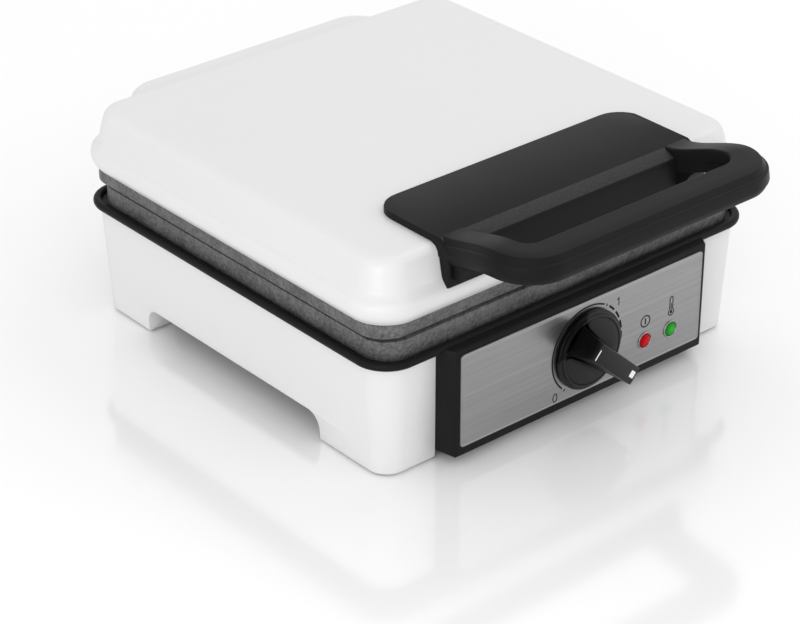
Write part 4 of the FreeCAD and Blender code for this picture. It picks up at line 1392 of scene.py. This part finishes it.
@dataclass
class Knob:
    """Disc with a raised bar that points at the highest setting."""

    angle: float = -42.0
    radius: float = 20 * MM
    bar_width: float = 9 * MM
    tail: float = -14.6

    def __post_init__(self) -> None:
        """Take the knob's place from the frame."""
        shaft_low, shaft_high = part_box("thermostat_shaft")
        low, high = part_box("control_knob")
        self.back = high.y
        self.height = high.y - low.y
        x, z = (shaft_low.x + shaft_high.x) / 2, (shaft_low.z + shaft_high.z) / 2
        turn = Matrix.Rotation(math.radians(-self.angle), 4, "Y")
        self.place = Matrix.Translation((x, self.back, z)) @ turn

    def build(self) -> None:
        """Make the disc with its bar and pads, the white pointer inlay at the tip and a white
        painted highlight on the edge at the bar's tail.
        """
        r = self.radius
        rim = [(-0.6, 0.0), (0.0, 0.5), (0.0, 1.5), (-0.3, 1.9), (-1.3, 2.0), (-1.6, 2.2),
               (-1.9, 3.0), (-2.4, 3.3), (-3.0, 3.2), (-3.3, 0.6), (-9.0, 0.5), (-18.0, 0.5)]
        base = lathe("knob_disc", [(r + x * MM, out * MM) for x, out in rim], 96)
        carve(base, [self.bar(), self.pad(-1), self.pad(1)], Act.ADD)
        moved(base, self.place)
        smooth(base, 28)
        base.name = "knob_moulding"
        # Painted shade: beyond the bar's tail the knob is made deep black, standing in for
        # the shade in the recess there.
        across = self.place.to_3x3() @ Vector((1, 0, 0))
        shade_limit = across.dot(self.place.translation) + (self.tail + 0.05) * MM
        dress(base, replace(KNOB_BLACK_WITH_PAINTED_SHADE, across=tuple(across), shade_limit=shade_limit), "knob",
              "black_plastic", "control_knob")
        # The tip strip is the pointer's white mark; the root strip is a painted highlight on
        # the edge where the bar's face meets its tail.
        marker_and_highlight = carve(self.white_strip("tip", 13.9, 17.2, -1.6, 1.9),
                       [self.white_strip("root", self.tail + 0.55, self.tail + 1.35, -3.9, 1.6)],
                       Act.ADD)
        marker_and_highlight.name = "knob_marker_and_painted_highlight"
        moved(marker_and_highlight, self.place)
        dress(marker_and_highlight, WHITE_MARK_AND_HIGHLIGHT, "knob", "white_paint", "knob_marker")
        paint(ZINC, "thermostat_shaft")

    def pad(self, side: int) -> bpy.types.Object:
        """Raised lens-shaped field beside the bar.

        Args:
            side: 1 for the field over the bar, -1 for the one under it.

        Returns:
            The field before it is turned into place.
        """
        r = self.radius - 3.1 * MM
        start, end = math.radians(14), math.radians(126)
        outline = [(r * math.cos(t), side * r * math.sin(t))
                   for t in (start + (end - start) * k / 24 for k in range(25))]
        outline += [(u * MM, side * w * MM) for u, w in (
            (-11.6, 12.2), (-12.7, 10.8), (-12.9, 9.6), (-12.2, 8.5), (-10.6, 7.8),
            (8.0, 4.8))]
        loops = [[Vector((u, -out, w)) for u, w in outline] for out in (0.3 * MM, 3.4 * MM)]
        return soften(loft("pad", loops), 0.7 * MM, 3, 40)

    def bar(self) -> bpy.types.Object:
        """Upright bar whose tail fans out as it slopes down to the disc.

        Returns:
            The bar before it is turned into place.
        """
        r, top, half = self.radius / MM, self.height, self.bar_width / 2 / MM
        foot = [(self.tail - 1.4, -half - 3.6), (-5.0, -half - 2.0), (r - 1.2, -half - 0.1),
                (r - 1.2, half + 0.1), (-5.0, half + 2.0), (self.tail - 1.4, half + 3.6)]
        face = [(self.tail, -half), (self.tail + 8, -half), (r - 1.5, -half),
                (r - 1.5, half), (self.tail + 8, half), (self.tail, half)]
        loops = [[Vector((u * MM, -out, w * MM)) for u, w in outline]
                 for outline, out in ((foot, 0.3 * MM), (face, top))]
        return soften(loft("bar", loops), 0.45 * MM, 3, 30)

    def white_strip(self, name: str, start: float, end: float, low: float,
              high: float) -> bpy.types.Object:
        """White strip standing a hair proud of the bar's face, used for the pointer's inlay
        and for a painted highlight.

        Args:
            name: the new object's name.
            start: where it begins along the bar, in millimetres.
            end: where it ends.
            low: its lower edge across the bar.
            high: its upper edge across the bar.

        Returns:
            The inlay before it is turned into place.
        """
        plan = Plan(start * MM, end * MM, low * MM, high * MM, 0.2 * MM, 5)
        steps = ((0.0, -0.5 * MM), (0.0, -0.02 * MM), (-0.1 * MM, 0.03 * MM))
        return loft(name, [upright(plan, growth, -self.height - proud)
                           for growth, proud in steps])


# ---- studio ----------------------------------------------------------------------------

@dataclass
class Studio:
    """Pale floor, soft lights and the camera."""

    azimuth: float = -40.63
    elevation: float = 29.3
    distance: float = 1.3094
    target: tuple[float, float, float] = (-0.01609, 0.00239, 0.01274)
    lens: float = 120.95
    shift: tuple[float, float] = (-0.0078, -0.001)

    def build(self) -> None:
        """Set up everything round the object."""
        self.floor()
        self.world()
        self.lights()
        self.camera()

    def floor(self) -> None:
        """Wide pale floor with a slight gloss."""
        shell = bmesh.new()
        bmesh.ops.create_grid(shell, x_segments=4, y_segments=4, size=6.0)
        item = from_bmesh("floor", shell)
        shade = Shade("floor_paint")
        cloud = shade.noise(1.2, 2.0)
        shade.set(Base_Color=shade.tint(cloud, (0.93, 0.93, 0.93), (0.95, 0.95, 0.95)),
                  Roughness=0.1 + (cloud - 0.5) * 0.04, IOR=1.9)
        item.data.materials.append(shade.material)

    def world(self) -> None:
        """Even white surroundings."""
        world = bpy.data.worlds.new("studio")
        bpy.context.scene.world = world
        world.use_nodes = True
        sky = world.node_tree.nodes["Background"]
        sky.inputs["Color"].default_value = (1.0, 1.0, 1.0, 1.0)
        sky.inputs["Strength"].default_value = 0.95
        bpy.context.scene.view_settings.view_transform = "Standard"

    def lights(self) -> None:
        """Large soft lamps: overhead, front left and right, and a low one at the left."""
        for name, place, size, power in (
                ("high_right", (0.85, 0.1, 1.25), 0.7, 1.6),
                ("front_left", (-1.3, -1.5, 0.7), 1.8, 7.0),
                ("low_left", (-1.6, -0.75, 0.3), 1.0, 7.0),
                ("front_right", (1.5, -1.3, 0.6), 1.4, 5.0)):
            lamp = bpy.data.lights.new(name, "AREA")
            lamp.size = size
            lamp.energy = power
            item = bpy.data.objects.new(name, lamp)
            item.location = place
            aim = Vector((0, 0, 0.05)) - Vector(place)
            item.rotation_euler = aim.to_track_quat("-Z", "Y").to_euler()
            bpy.context.scene.collection.objects.link(item)

    def camera(self) -> None:
        """Long lens from the front left, above the lid."""
        a, e = math.radians(self.azimuth), math.radians(self.elevation)
        back = Vector((math.sin(a) * math.cos(e), -math.cos(a) * math.cos(e), math.sin(e)))
        data = bpy.data.cameras.new("camera")
        data.lens = self.lens
        data.sensor_width = 36.0
        data.shift_x, data.shift_y = self.shift
        data.clip_end = 50.0
        item = bpy.data.objects.new("camera", data)
        item.location = Vector(self.target) + back * self.distance
        item.rotation_euler = (-back).to_track_quat("-Z", "Y").to_euler()
        bpy.context.scene.collection.objects.link(item)
        bpy.context.scene.camera = item


def main() -> None:
    """Build the looks in order."""
    logging.basicConfig(level=logging.INFO)
    for part in (Studio(), Base(), Panel(), Knob(), Lid(), Handle()):
        part.build()
        LOG.info("%s built", type(part).__name__)


if __name__ == "__main__":
    main()
